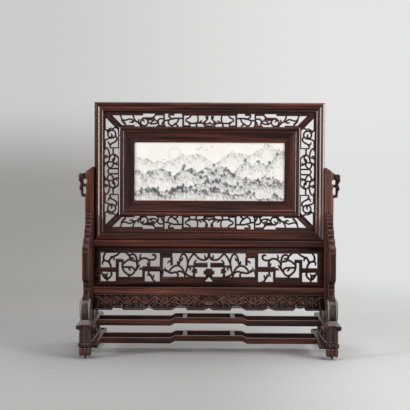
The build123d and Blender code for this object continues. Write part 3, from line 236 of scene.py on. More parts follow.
FRAME_TONES = ("#1f100d", "#3d211b", "#653225")
# The lower rail's tones are lighter and redder than the frame's: painted light on its front.
RAIL_LIT_TONES = ("#2d1814", "#5a3228", "#8f5040")
LEFT_POST_TONES = ("#24130f", "#47281f", "#723a2b")
# The right post is drawn lighter than the left, as painted sheen of the key light from the right.
RIGHT_POST_LIT_TONES = ("#412c26", "#5f3e35", "#7f5446")
BRACKET_TONES = ("#22120e", "#45271f", "#6b3a2e")
CARVED_TONES = ("#1a0f0d", "#331c17", "#4d271f")
LEG_TONES = ("#241a18", "#40312d", "#573f37")
DRUM_TONES = ("#2a201e", "#493d3a", "#645049")
frame_along_x = waxed_rosewood("rosewood_frame_along_x", "X", FRAME_TONES)
# Upright members carry a painted highlight on the outer side of their beads.
frame_along_z = waxed_rosewood("rosewood_frame_along_z", "Z", FRAME_TONES, arris_highlight_share=0.85)
stile_along_z = waxed_rosewood(
    "rosewood_stile_along_z", "Z", FRAME_TONES, arris_highlight_share=0.95, bead_highlight_share=0.42
)
post_wood = {
    "left": waxed_rosewood("rosewood_left_post", "Z", LEFT_POST_TONES),
    "right": waxed_rosewood("rosewood_right_post", "Z", RIGHT_POST_LIT_TONES),
}
bracket_wood = waxed_rosewood("rosewood_bracket_along_z", "Z", BRACKET_TONES, dust_and_sheen_share=0.08)
rail_along_x = waxed_rosewood("rosewood_rail_along_x", "X", RAIL_LIT_TONES)
carved_along_x = waxed_rosewood("rosewood_carved_along_x", "X", CARVED_TONES)
carved_along_z = waxed_rosewood("rosewood_carved_along_z", "Z", CARVED_TONES)
foot_along_x = waxed_rosewood("rosewood_foot_along_x", "X", FRAME_TONES, dust_and_sheen_share=0.25)
foot_along_y = waxed_rosewood("rosewood_foot_along_y", "Y", CARVED_TONES, dust_and_sheen_share=0.3)
side_rail_wood = waxed_rosewood("rosewood_side_rail_along_y", "Y", CARVED_TONES, dust_and_sheen_share=0.1)
leg_wood = waxed_rosewood("rosewood_leg_along_z", "Z", LEG_TONES, dust_and_sheen_share=0.25)
# The drum's pale grey rims are painted sheen, and its upward faces carry much dust and painted sheen.
drum_wood = waxed_rosewood("rosewood_drum", "Z", DRUM_TONES, dust_and_sheen_share=0.5, wear_and_highlight_tone="#b3aaa2")
porcelain = glazed_porcelain()
camphor = planed_softwood()


def as_mesh(bm, name):
    """Turns a bmesh into a mesh and frees it."""
    mesh = bpy.data.meshes.new(name)
    bm.to_mesh(mesh)
    bm.free()
    return mesh


def as_bmesh(mesh):
    """Turns a mesh into a bmesh and removes it."""
    bm = bmesh.new()
    bm.from_mesh(mesh)
    bpy.data.meshes.remove(mesh)
    return bm


def linked(name, data):
    """A new object in the scene, at the origin."""
    made = bpy.data.objects.new(name, data)
    bpy.context.scene.collection.objects.link(made)
    return made


def evaluated(holder):
    """The mesh that an object's modifiers give."""
    graph = bpy.context.evaluated_depsgraph_get()
    return bpy.data.meshes.new_from_object(holder.evaluated_get(graph))


def finish_with(piece, material):
    """Gives a piece or a CAD node one material."""
    piece.data.materials.clear()
    piece.data.materials.append(material)


# Pieces


def place_piece(bm, name, material, body, replaced, smooth_angle=34):
    """Turns a finished bmesh into a piece that rides on a body and stands for CAD nodes."""
    mesh = as_mesh(bm, name)
    mesh.shade_smooth()
    mesh.set_sharp_from_angle(angle=math.radians(smooth_angle))
    piece = linked(name, mesh)
    finish_with(piece, material)
    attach(piece, body)
    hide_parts(*replaced)


def copy_of(node):
    """A merged copy of a CAD node's mesh, which comes as loose triangles."""
    bm = bmesh.new()
    bm.from_mesh(nodes[node].data)
    for layer in list(bm.loops.layers.uv):
        bm.loops.layers.uv.remove(layer)
    shortest = 0.01 * MM
    bmesh.ops.remove_doubles(bm, verts=bm.verts, dist=shortest)
    bmesh.ops.dissolve_degenerate(bm, edges=bm.edges, dist=shortest)
    bm.normal_update()
    return bm


# Shapes. Those made from nothing are in millimetres, until in_metres or place_lumps turns them into metres.


def join(bm, other):
    """Adds one set of shapes to another."""
    mesh = as_mesh(other, "shapes")
    bm.from_mesh(mesh)
    bpy.data.meshes.remove(mesh)


def in_metres(bm):
    """Scales shapes in millimetres to metres."""
    bmesh.ops.scale(bm, vec=(MM, MM, MM), verts=bm.verts)


def corners_of(geometry):
    """The corners among what an operator made."""
    return [part for part in geometry if isinstance(part, bmesh.types.BMVert)]


def wood_layers(bm):
    """The two layers that the wood's finish reads on the corners of faces: painted shade, and wear with
    painted highlight.
    """
    layers = bm.loops.layers.float
    return [layers.get(name) or layers.new(name) for name in ("painted_shade", "wear_and_highlight")]


def tone(bm, wear_and_highlight_share=0.0):
    """Gives all of some shapes no painted shade and the same share of wear and painted highlight, for the
    wood's tones.
    """
    shade_layer, wear_and_highlight = wood_layers(bm)
    for face in bm.faces:
        for corner in face.loops:
            corner[shade_layer] = 0.0
            corner[wear_and_highlight] = wear_and_highlight_share


def tone_crests(bm, outward, light, dark):
    """Paints highlight on raised work where it faces one way, and shade where it turns away from there."""
    highlight_starts = 0.55
    dark_ends = 0.7
    bm.normal_update()
    shade_layer, wear_and_highlight = wood_layers(bm)
    for face in bm.faces:
        facing = face.normal.dot(outward)
        for corner in face.loops:
            corner[wear_and_highlight] = light * max(0.0, (facing - highlight_starts) / (1 - highlight_starts))
            corner[shade_layer] = dark * min(1.0, max(0.0, 1.0 - facing / dark_ends))


def unit_ball():
    """A sphere of radius one, made once and copied for each rounded lump."""
    bm = bmesh.new()
    bmesh.ops.create_uvsphere(bm, u_segments=18, v_segments=12, radius=1.0)
    return as_mesh(bm, "unit_ball")


one_ball = unit_ball()


def ball(bm, centre, radii, turn=(0, 0, 0)):
    """A rounded lump: a sphere stretched to three radii."""
    lump = one_ball.copy()
    angles = Euler([math.radians(angle) for angle in turn])
    lump.transform(Matrix.LocRotScale(Vector(centre), angles, Vector(radii)))
    bm.from_mesh(lump)
    bpy.data.meshes.remove(lump)


def slab(bm, low, high, soften):
    """A block between two corners with its edges rounded over."""
    low, high = Vector(low), Vector(high)
    matrix = Matrix.LocRotScale((low + high) / 2, None, high - low)
    made = bmesh.ops.create_cube(bm, size=1.0, matrix=matrix)["verts"]
    # A dict keeps the edges in order, and so the bevel comes out the same each run.
    edges = list(dict.fromkeys(edge for corner in made for edge in corner.link_edges))
    bmesh.ops.bevel(
        bm, geom=edges, offset=soften, segments=3, profile=0.5, affect="EDGES", material=-1
    )


def peg(bm, start, end, start_radius, end_radius, segments=20):
    """A round tapered peg between two points."""
    start, end = Vector(start), Vector(end)
    turn = (end - start).to_track_quat("Z", "Y")
    matrix = Matrix.LocRotScale((start + end) / 2, turn, None)
    bmesh.ops.create_cone(
        bm,
        cap_ends=True,
        segments=segments,
        radius1=start_radius,
        radius2=end_radius,
        depth=(end - start).length,
        matrix=matrix,
    )


def add_ridges(bm, ridges):
    """Carved ridges: round strands along smooth points, each with the radius it starts and ends at."""
    lines = bpy.data.curves.new("ridges", "CURVE")
    lines.dimensions = "3D"
    lines.bevel_depth = 1.0
    lines.bevel_resolution = 2
    lines.resolution_u = 4
    lines.use_fill_caps = True
    for points, start_radius, end_radius in ridges:
        spline = lines.splines.new("NURBS")
        last = len(points) - 1
        spline.points.add(last)
        for i, point in enumerate(points):
            spline.points[i].co = (*point, 1.0)
            spline.points[i].radius = start_radius + (end_radius - start_radius) * i / last
        spline.order_u = 3
        spline.use_endpoint_u = True
    holder = bpy.data.objects.new("ridges", lines)
    strands = bpy.data.meshes.new_from_object(holder)
    bm.from_mesh(strands)
    bpy.data.objects.remove(holder)
    bpy.data.curves.remove(lines)
    bpy.data.meshes.remove(strands)


def volute(centre, radius, start, turns, hand, across, up):
    """Points of a scroll that winds inward, on the plane of two directions."""
    points = []
    steps = int(10 * turns)
    for i in range(steps + 1):
        angle = math.radians(start) + hand * math.tau * turns * i / steps
        reach = radius * (1 - 0.82 * i / steps)
        points.append(centre + across * reach * math.cos(angle) + up * reach * math.sin(angle))
    return points


def fuse(bm, voxel):
    """Fuses overlapping lumps into one carved skin and smooths it."""
    lumps = as_mesh(bm, "lumps")
    holder = linked("lumps", lumps)
    skinning = holder.modifiers.new("skin", "REMESH")
    skinning.mode = "VOXEL"
    skinning.voxel_size = voxel
    fused = as_bmesh(evaluated(holder))
    bpy.data.objects.remove(holder)
    bpy.data.meshes.remove(lumps)
    smoothing_rounds = 2
    for _ in range(smoothing_rounds):
        bmesh.ops.smooth_vert(
            fused, verts=fused.verts, factor=0.5, use_axis_x=True, use_axis_y=True, use_axis_z=True
        )
    fused.normal_update()
    return fused


def shade_hollows(bm, reach):
    """Paints shade into hollows, and wear with painted highlight onto crests, by how far a corner lies below
    or above its neighbours.
    """
    most_shaded = 0.7
    most_worn_and_highlit = 0.35
    shade_layer = bm.verts.layers.float.new("painted_shade")
    wear_and_highlight = bm.verts.layers.float.new("wear_and_highlight")
    for corner in bm.verts:
        around = [edge.other_vert(corner).co for edge in corner.link_edges]
        middle = sum(around, Vector()) / len(around)
        below = (middle - corner.co).dot(corner.normal) / reach
        corner[shade_layer] = min(most_shaded, max(0.0, below))
        corner[wear_and_highlight] = min(most_worn_and_highlit, max(0.0, -0.5 * below))


def place_lumps(shape, node, work, material, side_sign, end_sign=-1):
    """Stands a copy of a shape in for a CAD node. The shape is made for the right front of the stand,
    and is flipped over to the left or the rear."""
    bm = shape.copy()
    bmesh.ops.scale(bm, vec=(MM * side_sign, -MM * end_sign, MM), verts=bm.verts)
    if side_sign * end_sign > 0:
        bmesh.ops.reverse_faces(bm, faces=bm.faces)
    place_piece(bm, f"{node}_{work}", material, "stand", (node,))


# Sizes of the stand, in millimetres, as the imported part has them
POST_X = 275.5
POST_OUTER_X = 285.5
SIDE_RAIL_X = 255.25
LEG_Y = 106.0
DRUM_Y = 91.5
DRUM_Z = 107.2
LEG_HALF = 12.0
COLLAR_LOW, COLLAR_HIGH = 27.0, 38.0
LEG_TOP = 65.0
PLANK_TOP = 75.7
SIDES = (("left", -1), ("right", 1))
ENDS = (("front", -1), ("rear", 1))
BRACKET_TOP = 322.0
# Behind each opening of an ear: how high it is, how far the post is hollowed, and half the hollow's height
EAR_HOLLOWS = ((373.0, 2.6, 8.5), (393.6, 4.8, 5.8))
HALF_POST_DEPTH = 17.0
RAIL_BOTTOM = 133.0
APRON_Y = 10.5
APRON_LEAN = math.radians(16)
# A face that turns more than this away from a board's face is the wall of an opening.
WALL_FACING = 0.3


def carve_over(bm, direction, width, depth):
    """Rounds the edges of everything that faces one way, as a carver does with a gouge. The crest stays
    at its height and the edges fall away from it. No corner moves further than twice the width."""
    flat_enough = 0.995
    crest = [face for face in bm.faces if face.normal.dot(direction) > flat_enough]
    corners = {corner for face in crest for corner in face.verts}
    bmesh.ops.translate(bm, verts=list(corners), vec=-direction * depth)
    start = bm.verts.layers.float_vector.get("start") or bm.verts.layers.float_vector.new("start")
    for share_out, share_up in ((0.35, 0.6), (0.65, 0.4)):
        for corner in bm.verts:
            corner[start] = corner.co
        bmesh.ops.inset_region(
            bm,
            faces=crest,
            thickness=width * share_out,
            depth=depth * share_up,
            use_even_offset=True,
            use_boundary=True,
        )
        limit = 2 * width * share_out + depth * share_up
        for corner in {corner for face in crest for corner in face.verts}:
            moved = corner.co - corner[start]
            if moved.length > limit:
                corner.co = corner[start] + moved.normalized() * limit
    return crest


def shade_cuts(bm, crests, directions, field):
    """Paints shade on the walls of carved openings, and wear with painted highlight on the rounded edges, for
    the wood's tones.
    The field is how much painted shade the board's face takes below its raised work."""
    dark = 0.55
    light = 0.12
    shade_layer, wear_and_highlight = wood_layers(bm)
    tops = set(crests)
    for face in bm.faces:
        is_wall = max(face.normal.dot(direction) for direction in directions) <= WALL_FACING
        for corner in face.loops:
            corner[shade_layer] = dark if is_wall else field
            corner[wear_and_highlight] = 0.0 if is_wall or face in tops else light


def fill_out(bm, amount):
    """Lets the carved stems swell a little between their crests, away from the board's own edges."""
    low = Vector([min(corner.co[i] for corner in bm.verts) for i in range(3)])
    high = Vector([max(corner.co[i] for corner in bm.verts) for i in range(3)])
    margin = 5 * MM
    mitre_area = 50 * MM * MM
    moves = {}
    for corner in bm.verts:
        if low.x + margin < corner.co.x < high.x - margin and low.z + margin < corner.co.z < high.z - margin:
            walls = [face for face in corner.link_faces if abs(face.normal.y) < WALL_FACING]
            slanted = [wall for wall in walls if abs(abs(wall.normal.x) - math.sqrt(0.5)) < 0.01]
            mitred = any(wall.calc_area() > mitre_area for wall in slanted)
            if walls and not mitred:
                moves[corner] = sum((wall.normal for wall in walls), Vector()).normalized() * amount
    for corner, move in moves.items():
        corner.co += move


def carved_board(
    node, body, material, directions, width=0.8 * MM, depth=0.9 * MM, relief=None, field=0.0, swell=0.0
):
    """A carved board on a CAD node's outline, worked over from each of the given directions."""
    bm = copy_of(node)
    if swell:
        fill_out(bm, swell)
    crests = []
    for direction in directions:
        crests += carve_over(bm, direction, width, depth)
    shade_cuts(bm, crests, directions, field)
    if relief:
        join(bm, relief)
    place_piece(bm, node + "_carved", material, body, (node,))


def bracket_rolls(side_sign, end_sign):
    """Rolls carved across the stepped edge of a bracket, and beads down its plain edge."""
    rolls = bmesh.new()
    half_roll = 7.1
    steps = ((12.5, 11.5), (27, 28), (44, 48), (70.5, 69.5), (87, 85), (63, 170))
    between = ((20, 17.5), (36, 36.5), (56, 56.5), (79, 73.5), (66, 158), (72, 187))

    def edge_point(x, reach, depth):
        """A point of the bracket: across, out from the post and down from the bracket's top."""
        return (side_sign * POST_X + x, end_sign * (HALF_POST_DEPTH + reach), BRACKET_TOP - depth)

    for places, radius in ((steps, 2.8), (between, 1.7)):
        for reach, depth in places:
            start = edge_point(-half_roll, reach, depth)
            peg(rolls, start, edge_point(half_roll, reach, depth), radius, radius, 14)
    bead_reach = 88.6
    bead_radius = 1.3
    for x in (-5.9, 5.9):
        start = edge_point(x, bead_reach, 87)
        peg(rolls, start, edge_point(x, bead_reach, 134), bead_radius, bead_radius, 12)
    # The rolls are a little paler: wear and a painted highlight.
    tone(rolls, wear_and_highlight_share=0.12)
    in_metres(rolls)
    return rolls


def ear_scrolls(side_sign):
    """Scrolls raised on both faces of an ear, small knobs round its outer edge, and three curls that run
    up the post's shoulder."""
    relief = bmesh.new()
    ridges = []
    up = Vector((0, 0, 1))
    for face in (-5.0, 5.0):
        for out, z, radius, start, turns, hand in (
            (10.2, 404.5, 5.4, -60, 1.6, 1),
            (11.6, 380.5, 3.6, 200, 1.3, -1),
            (6.6, 361.5, 3.4, 20, 1.2, -1),
        ):
            centre = Vector((side_sign * (POST_OUTER_X + out), face, z))
            ridges.append((volute(centre, radius, start, turns, hand, RIGHT * side_sign, up), 1.2, 0.7))
    add_ridges(relief, ridges)
    knobs = ((12.5, 410.5), (14.6, 407), (14.9, 402), (14.2, 397), (12.4, 391.5), (11.8, 386.5))
    knobs += ((13.0, 381.5), (12.2, 376), (10.4, 370.5), (9.8, 365), (8.2, 360.5))
    for out, z in knobs:
        for y in (-3.2, 0.0, 3.2):
            ball(relief, (side_sign * (POST_OUTER_X + out), y, z), (1.7, 1.9, 1.9))
    half_curl = 9.5
    for out, z, radius in ((1.2, 412.2, 2.3), (-2.2, 414.6, 1.9), (-5.4, 417.4, 1.9)):
        x = side_sign * (POST_OUTER_X + out)
        peg(relief, (x, -half_curl, z), (x, half_curl, z), radius, radius, 16)
        for y in (-half_curl, half_curl):
            ball(relief, (x, y, z), (radius, 1.4, radius))
    # The ear's relief is paler: wear and a painted highlight.
    tone(relief, wear_and_highlight_share=0.2)
    in_metres(relief)
    return relief


def hollow_post(side, side_sign):
    """A post, its outer edge hollowed behind the two openings of its ear."""
    node = f"{side}_post"
    whole = as_mesh(copy_of(node), "post")
    hollows = bmesh.new()
    for z, reach, half_height in EAR_HOLLOWS:
        ball(hollows, (side_sign * POST_OUTER_X, 0, z), (reach, 3 * HALF_POST_DEPTH, half_height))
    in_metres(hollows)
    gouge = as_mesh(hollows, "hollows")
    holder = linked("post", whole)
    tool = linked("hollows", gouge)
    cut = holder.modifiers.new("cut", "BOOLEAN")
    cut.operation = "DIFFERENCE"
    cut.object = tool
    bm = as_bmesh(evaluated(holder))
    for used in (holder, tool):
        bpy.data.objects.remove(used)
    for used in (whole, gouge):
        bpy.data.meshes.remove(used)
    shortest = 0.02 * MM
    bmesh.ops.remove_doubles(bm, verts=bm.verts, dist=shortest)
    bmesh.ops.dissolve_degenerate(bm, edges=bm.edges, dist=shortest)
    bmesh.ops.triangulate(bm, faces=bm.faces)
    bmesh.ops.dissolve_degenerate(bm, edges=bm.edges, dist=shortest)
    tone(bm)
    place_piece(bm, f"{node}_hollowed", post_wood[side], "stand", (node,), smooth_angle=25)


def apron_outward(end_sign):
    """The way that an apron's outer face looks."""
    return Vector((0, end_sign * math.cos(APRON_LEAN), math.sin(APRON_LEAN)))


def apron_scrolls(end_sign):
    """Scrollwork raised on an apron: a waving vine with a scroll in each bend and leaves beside it, thin
    upright stems, a fan of leaves in the middle, and a bead along the lobed foot and the upper edge."""
    relief = bmesh.new()
    ridges = []
    face = 4.3
    outward = apron_outward(end_sign)

    def on_apron(x, depth):
        """A point on the apron's face: across, and down its slope."""
        down = Vector((0, end_sign * math.sin(APRON_LEAN), -math.cos(APRON_LEAN))) * depth
        return Vector((x, end_sign * APRON_Y, RAIL_BOTTOM)) + down + outward * face

    down_slope = on_apron(0, 1) - on_apron(0, 0)
    foot = ((262, 35), (225, 35), (220, 28.5), (201, 28.5), (196, 35), (153, 35), (144, 32), (138.5, 29.5))
    foot += ((132, 32), (125, 35), (89, 35), (82, 33), (75, 29.5), (54, 29.5), (49, 35), (13, 35))
    foot += ((5, 32.5), (0, 29.5))
    stems = (256, 239, 226, 187, 168, 150, 122, 108, 96, 63, 48, 33)
    fan = ((0, 5), (6, 8), (12, 10), (18, 14), (25, 18))
    wave = 45.0
    vine_depth = 14.5
    vine_bend = 8.0
    scroll_radius = 7.0
    leaf_size = (3.6, 1.5, 1.5)
    border_depth = 1.6
    for hand in (-1, 1):
        vine = []
        for i in range(49):
            x = 22.0 + 5.0 * i
            vine.append(on_apron(hand * x, vine_depth + vine_bend * math.sin(math.tau * x / wave)))
        ridges.append((vine, 1.9, 1.7))
        for k in range(1, 11):
            bend = 1 if k % 2 == 0 else -1
            x = wave / 4 + wave / 2 * k
            centre = on_apron(hand * x, vine_depth - 1.0 * bend)
            scroll = volute(centre, scroll_radius, 90 * bend, 1.5, hand * bend, RIGHT, down_slope)
            ridges.append((scroll, 1.7, 1.0))
            for shift, reach, slant in ((-10.5, 9.0, 40), (10.5, 9.0, -40), (-5.5, 2.0, 75), (6.0, -4.0, 20)):
                leaf = on_apron(hand * (x + shift), vine_depth + reach * bend)
                ball(relief, leaf, leaf_size, (0, hand * bend * slant, 0))
        for x in stems:
            foot_of_stem = on_apron(hand * x, 32)
            ridges.append(([foot_of_stem, on_apron(hand * (x - 1.2), 18), on_apron(hand * x, 2)], 1.1, 1.0))
        for x, high in fan:
            root = on_apron(hand * 0.25 * x, 25)
            ridges.append(([root, on_apron(hand * 0.5 * x, 17), on_apron(hand * x, high)], 1.5, 0.9))
        ridges.append(([on_apron(hand * x, depth) for x, depth in foot], 1.2, 1.2))
        ridges.append(([on_apron(hand * x, border_depth) for x in (263, 130, 0)], 1.0, 1.0))
    add_ridges(relief, ridges)
    # Painted highlight on crests that face out and up, and painted shade on their sides.
    tone_crests(relief, outward, light=0.42, dark=0.75)
    in_metres(relief)
    return relief


for side in ("top", "bottom"):
    carved_board(f"fret_{side}", "screen", carved_along_x, (FRONT, BACK), swell=0.32 * MM)
for side in ("left", "right"):
    carved_board(f"fret_{side}", "screen", carved_along_z, (FRONT, BACK), swell=0.32 * MM)
carved_board("lower_panel", "stand", carved_along_x, (FRONT, BACK), 1.0 * MM, 1.2 * MM, swell=0.38 * MM)
for side, side_sign in SIDES:
    hollow_post(side, side_sign)
    scrolls = ear_scrolls(side_sign)
    carved_board(f"{side}_ear", "stand", carved_along_z, (FRONT, BACK), 1.0 * MM, 1.3 * MM, scrolls)
    for end, end_sign in ENDS:
        node = f"{side}_{end}_bracket"
        rolls = bracket_rolls(side_sign, end_sign)
        carved_board(node, "stand", bracket_wood, (LEFT, RIGHT), 1.0 * MM, 1.4 * MM, rolls)
for end, end_sign in ENDS:
    scrolls = apron_scrolls(end_sign)
    faces = (apron_outward(end_sign), -apron_outward(end_sign))
    # The apron's face between its raised work takes strong painted shade.
    carved_board(f"{end}_apron", "stand", carved_along_x, faces, 0.9 * MM, 1.1 * MM, scrolls, 0.85)

for name in ("outer_frame_top", "outer_frame_bottom", "inner_frame_top", "inner_frame_bottom"):
    finish_with(nodes[name], frame_along_x)
for side in ("left", "right"):
    finish_with(nodes[f"outer_frame_{side}"], stile_along_z)
    finish_with(nodes[f"inner_frame_{side}"], frame_along_z)
for name in ("outer_frame_keys", "inner_frame_keys", "back_beads", "upper_rail"):
    finish_with(nodes[name], frame_along_x)
finish_with(nodes["lower_rail"], rail_along_x)
for name in nodes:
    if "stretcher" in name:
        finish_with(nodes[name], foot_along_x)
    if "cross_piece" in name:
        finish_with(nodes[name], foot_along_y)
finish_with(nodes["backing_board"], camphor)


def arch_shield(bm, low, high, half, out, thickness, rim):
    """A raised shield with a pointed arch on the -Y face: a rim round a slightly hollow field."""
    spring = high - 1.1 * half
    corners = [
        (-half, low),
        (half, low),
        (half, spring),
        (0.62 * half, high - 0.42 * half),
        (0, high),
        (-0.62 * half, high - 0.42 * half),
        (-half, spring),
    ]
    made = [bm.verts.new((x, out, z)) for x, z in corners]
    face = bm.faces.new(made)
    grown = bmesh.ops.extrude_face_region(bm, geom=[face])["geom"]
    bmesh.ops.translate(bm, vec=(0, thickness, 0), verts=corners_of(grown))
    bmesh.ops.recalc_face_normals(bm, faces=bm.faces)
    bmesh.ops.inset_region(bm, faces=[face], thickness=rim, depth=0.0, use_even_offset=True)
    bmesh.ops.inset_region(bm, faces=[face], thickness=rim * 0.5, depth=-rim * 0.5, use_even_offset=True)


def leg_lumps():
    """A front leg about its own centre: block, petal collar and three-lobed paw."""
    bm = bmesh.new()
    slab(bm, (-LEG_HALF, -LEG_HALF, COLLAR_HIGH - 2), (LEG_HALF, LEG_HALF, LEG_TOP), 1.6)
    slab(bm, (-10.8, -10.8, COLLAR_LOW - 1), (10.8, 10.8, COLLAR_HIGH + 1), 1.5)
    petal = (4.9, 2.7, 6.4)
    for turn in range(4):
        spin = Matrix.Rotation(math.radians(90 * turn), 3, "Z")
        for along in (-8.3, 0.0, 8.3):
            centre = spin @ Vector((along, -11.0, 32.4))
            ball(bm, centre, petal, (-10, 0, 90 * turn))
        ball(bm, spin @ Vector((-10.6, -10.6, 32.6)), (3.2, 3.2, 5.6))
        ball(bm, spin @ Vector((-7.5, -7.5, 16.4)), (5.0, 5.0, 9.8))
        ball(bm, spin @ Vector((-8.6, -8.6, 9.6)), (3.0, 3.0, 3.4))
        ball(bm, spin @ Vector((-7.8, -7.8, 22.8)), (4.4, 4.4, 4.0))
        ball(bm, spin @ Vector((0, -8.6, 16.0)), (3.9, 4.0, 9.6))
        ball(bm, spin @ Vector((0, -10.2, 9.8)), (2.5, 2.4, 3.2))
        ball(bm, spin @ Vector((0, -9.4, 22.6)), (3.5, 3.4, 3.8))
    slab(bm, (-8.5, -8.5, 7.6), (8.5, 8.5, 28.5), 1.5)
    peg(bm, (0, 0, 9.0), (0, 0, 0.0), 4.6, 1.5)
    return bm


def leg_shape():
    """One leg: the fused carving, a little wider below the block, with crisp shields on its four faces."""
    bm = fuse(leg_lumps(), voxel=0.62)
    shade_hollows(bm, reach=0.045)
    widening = 0.09
    for corner in bm.verts:
        corner.co.z = max(corner.co.z, 0.0)
        below_block = min(1.0, max(0.0, (COLLAR_HIGH + 1 - corner.co.z) / 4))
        corner.co.x *= 1 + widening * below_block
    shields = bmesh.new()
    arch_shield(shields, COLLAR_HIGH + 0.8, PLANK_TOP - 0.6, 10.2, -13.9, 3.0, 1.5)
    for turn in (90, 180, 270):
        side_shield = bmesh.new()
        arch_shield(side_shield, COLLAR_HIGH + 1.2, LEG_TOP - 1.0, 9.2, -12.8, 2.0, 1.3)
        bmesh.ops.rotate(
            side_shield, verts=side_shield.verts, matrix=Matrix.Rotation(math.radians(turn), 3, "Z")
        )
        join(shields, side_shield)
    join(bm, shields)
    shade_layer = bm.verts.layers.float["painted_shade"]
    wear_and_highlight = bm.verts.layers.float["wear_and_highlight"]
    # Painted shade: the collar is dimmed, and the paw below it darker still.
    for corner in bm.verts:
        if COLLAR_LOW - 1 < corner.co.z < COLLAR_HIGH:
            corner[wear_and_highlight] = 0.0
            corner[shade_layer] = max(corner[shade_layer], 0.2)
        elif corner.co.z < COLLAR_LOW:
            corner[shade_layer] = max(corner[shade_layer], 0.55)
    bmesh.ops.translate(bm, vec=(POST_X, -LEG_Y, 0), verts=bm.verts)
    return bm


def drum_profile():
    """Half the drum's section as distance from its middle and radius, from the boss to the barrel."""
    return [
        (11.8, 0.0),
        (11.8, 3.2),
        (11.3, 4.2),
        (11.6, 8.2),
        (11.0, 9.4),
        (10.2, 9.8),
        (10.2, 17.2),
        (10.9, 18.2),
        (11.75, 18.6),
        (11.75, 22.6),
        (11.3, 24.2),
        (10.2, 25.1),
        (8.8, 25.5),
        (7.6, 25.3),
        (7.2, 24.4),
        (6.6, 24.1),
        (0.0, 24.6),
    ]


def drum_shape():
    """A drum standing on a moulded pad: beaded rims, nail heads, and a rosette on each face."""
    bm = bmesh.new()
    half = [bm.verts.new((x, 0, radius)) for x, radius in drum_profile()]
    edges = [bm.edges.new(pair) for pair in zip(half, half[1:])]
    bmesh.ops.spin(
        bm, geom=half + edges, cent=(0, 0, 0), axis=(1, 0, 0), angle=math.tau, steps=72, use_merge=True
    )
    bmesh.ops.mirror(bm, geom=bm.verts[:] + bm.edges[:] + bm.faces[:], axis="X", merge_dist=0.001)
    bmesh.ops.remove_doubles(bm, verts=bm.verts, dist=0.002)
    bmesh.ops.recalc_face_normals(bm, faces=bm.faces)
    nails = 24
    nail_circle = 20.6
    petals = 8
    petal_circle = 13.4
    for face_x in (-1, 1):
        for i in range(nails):
            angle = math.tau * i / nails
            spot = (face_x * 11.7, nail_circle * math.cos(angle), nail_circle * math.sin(angle))
            bmesh.ops.create_icosphere(bm, subdivisions=1, radius=1.15, matrix=Matrix.Translation(spot))
        for i in range(petals):
            angle = math.tau * i / petals
            spot = (face_x * 10.3, petal_circle * math.cos(angle), petal_circle * math.sin(angle))
            ball(bm, spot, (1.2, 3.3, 1.9), (math.degrees(angle), 0, 0))
    slab(bm, (-9.6, -17.0, -31.5), (9.6, 17.0, -27.0), 0.8)
    slab(bm, (-8.4, -15.0, -27.4), (8.4, 15.0, -21.0), 1.0)
    # Painted shade in the recessed band and the sunk faces, and painted sheen on the outer rims.
    shade_layer, wear_and_highlight = wood_layers(bm)
    for face in bm.faces:
        centre = face.calc_center_median()
        reach = math.hypot(centre.y, centre.z)
        inset_band = abs(centre.x) < 7.3 and reach > 20
        sunk_face = abs(centre.x) > 9 and 9.6 < reach < 18.2
        for corner in face.loops:
            corner[shade_layer] = 0.35 if inset_band or sunk_face else 0.0
            corner[wear_and_highlight] = 0.38 if reach > 24.9 else 0.0
    bmesh.ops.translate(bm, vec=(POST_X, -DRUM_Y, DRUM_Z), verts=bm.verts)
    return bm


def plank_shape():
    """A sled plank: bead and cove along its edges, and a small scroll either side of each leg."""
    bm = bmesh.new()
    end_y = 118.2
    section = (
        (17.6, 75.7),
        (18.9, 75.2),
        (19.3, 74.0),
        (18.9, 72.8),
        (17.7, 72.2),
        (17.2, 70.6),
        (16.0, 69.0),
        (15.2, 68.4),
        (15.8, 67.2),
        (15.2, 65.6),
        (13.8, 65.0),
        (-18.0, 65.0),
        (-19.1, 65.8),
        (-19.3, 67.0),
        (-19.3, 71.2),
        (-18.5, 71.8),
        (-19.1, 72.6),
        (-19.3, 74.0),
        (-18.9, 75.2),
        (-17.6, 75.7),
    )
    face = bm.faces.new([bm.verts.new((x, -end_y, z)) for x, z in section])
    grown = bmesh.ops.extrude_face_region(bm, geom=[face])["geom"]
    bmesh.ops.translate(bm, vec=(0, 2 * end_y, 0), verts=corners_of(grown))
    bmesh.ops.recalc_face_normals(bm, faces=bm.faces)
    scroll_z = 70.9
    scroll_radius = 4.4
    for y in (-115.3, 115.3):
        for inner, outer in ((-12.4, -19.3), (12.4, 19.3)):
            peg(bm, (inner, y, scroll_z), (outer, y, scroll_z), scroll_radius, scroll_radius, 24)
            ball(bm, (outer, y, scroll_z), (0.9, 2.0, 2.0))
    tone(bm)
    bmesh.ops.translate(bm, vec=(POST_X, 0, 0), verts=bm.verts)
    return bm


def side_rail_shape():
    """A low side rail: two beads along the top, a hollow between them, and scrolled ends."""
    bm = bmesh.new()
    half = 8.2
    slab(bm, (-half, -108, 25.8), (half, 108, 35.4), 0.8)
    for x in (-6.2, 6.2):
        peg(bm, (x, -105, 35.5), (x, 105, 35.5), 2.0, 2.0, 16)
    for end_sign in (-1, 1):
        for y, z, radius in ((109.1, 29.2, 4.9), (103.4, 34.6, 3.2)):
            peg(bm, (-half, end_sign * y, z), (half, end_sign * y, z), radius, radius, 24)
    tone(bm)
    bmesh.ops.translate(bm, vec=(SIDE_RAIL_X, 0, 0), verts=bm.verts)
    return bm


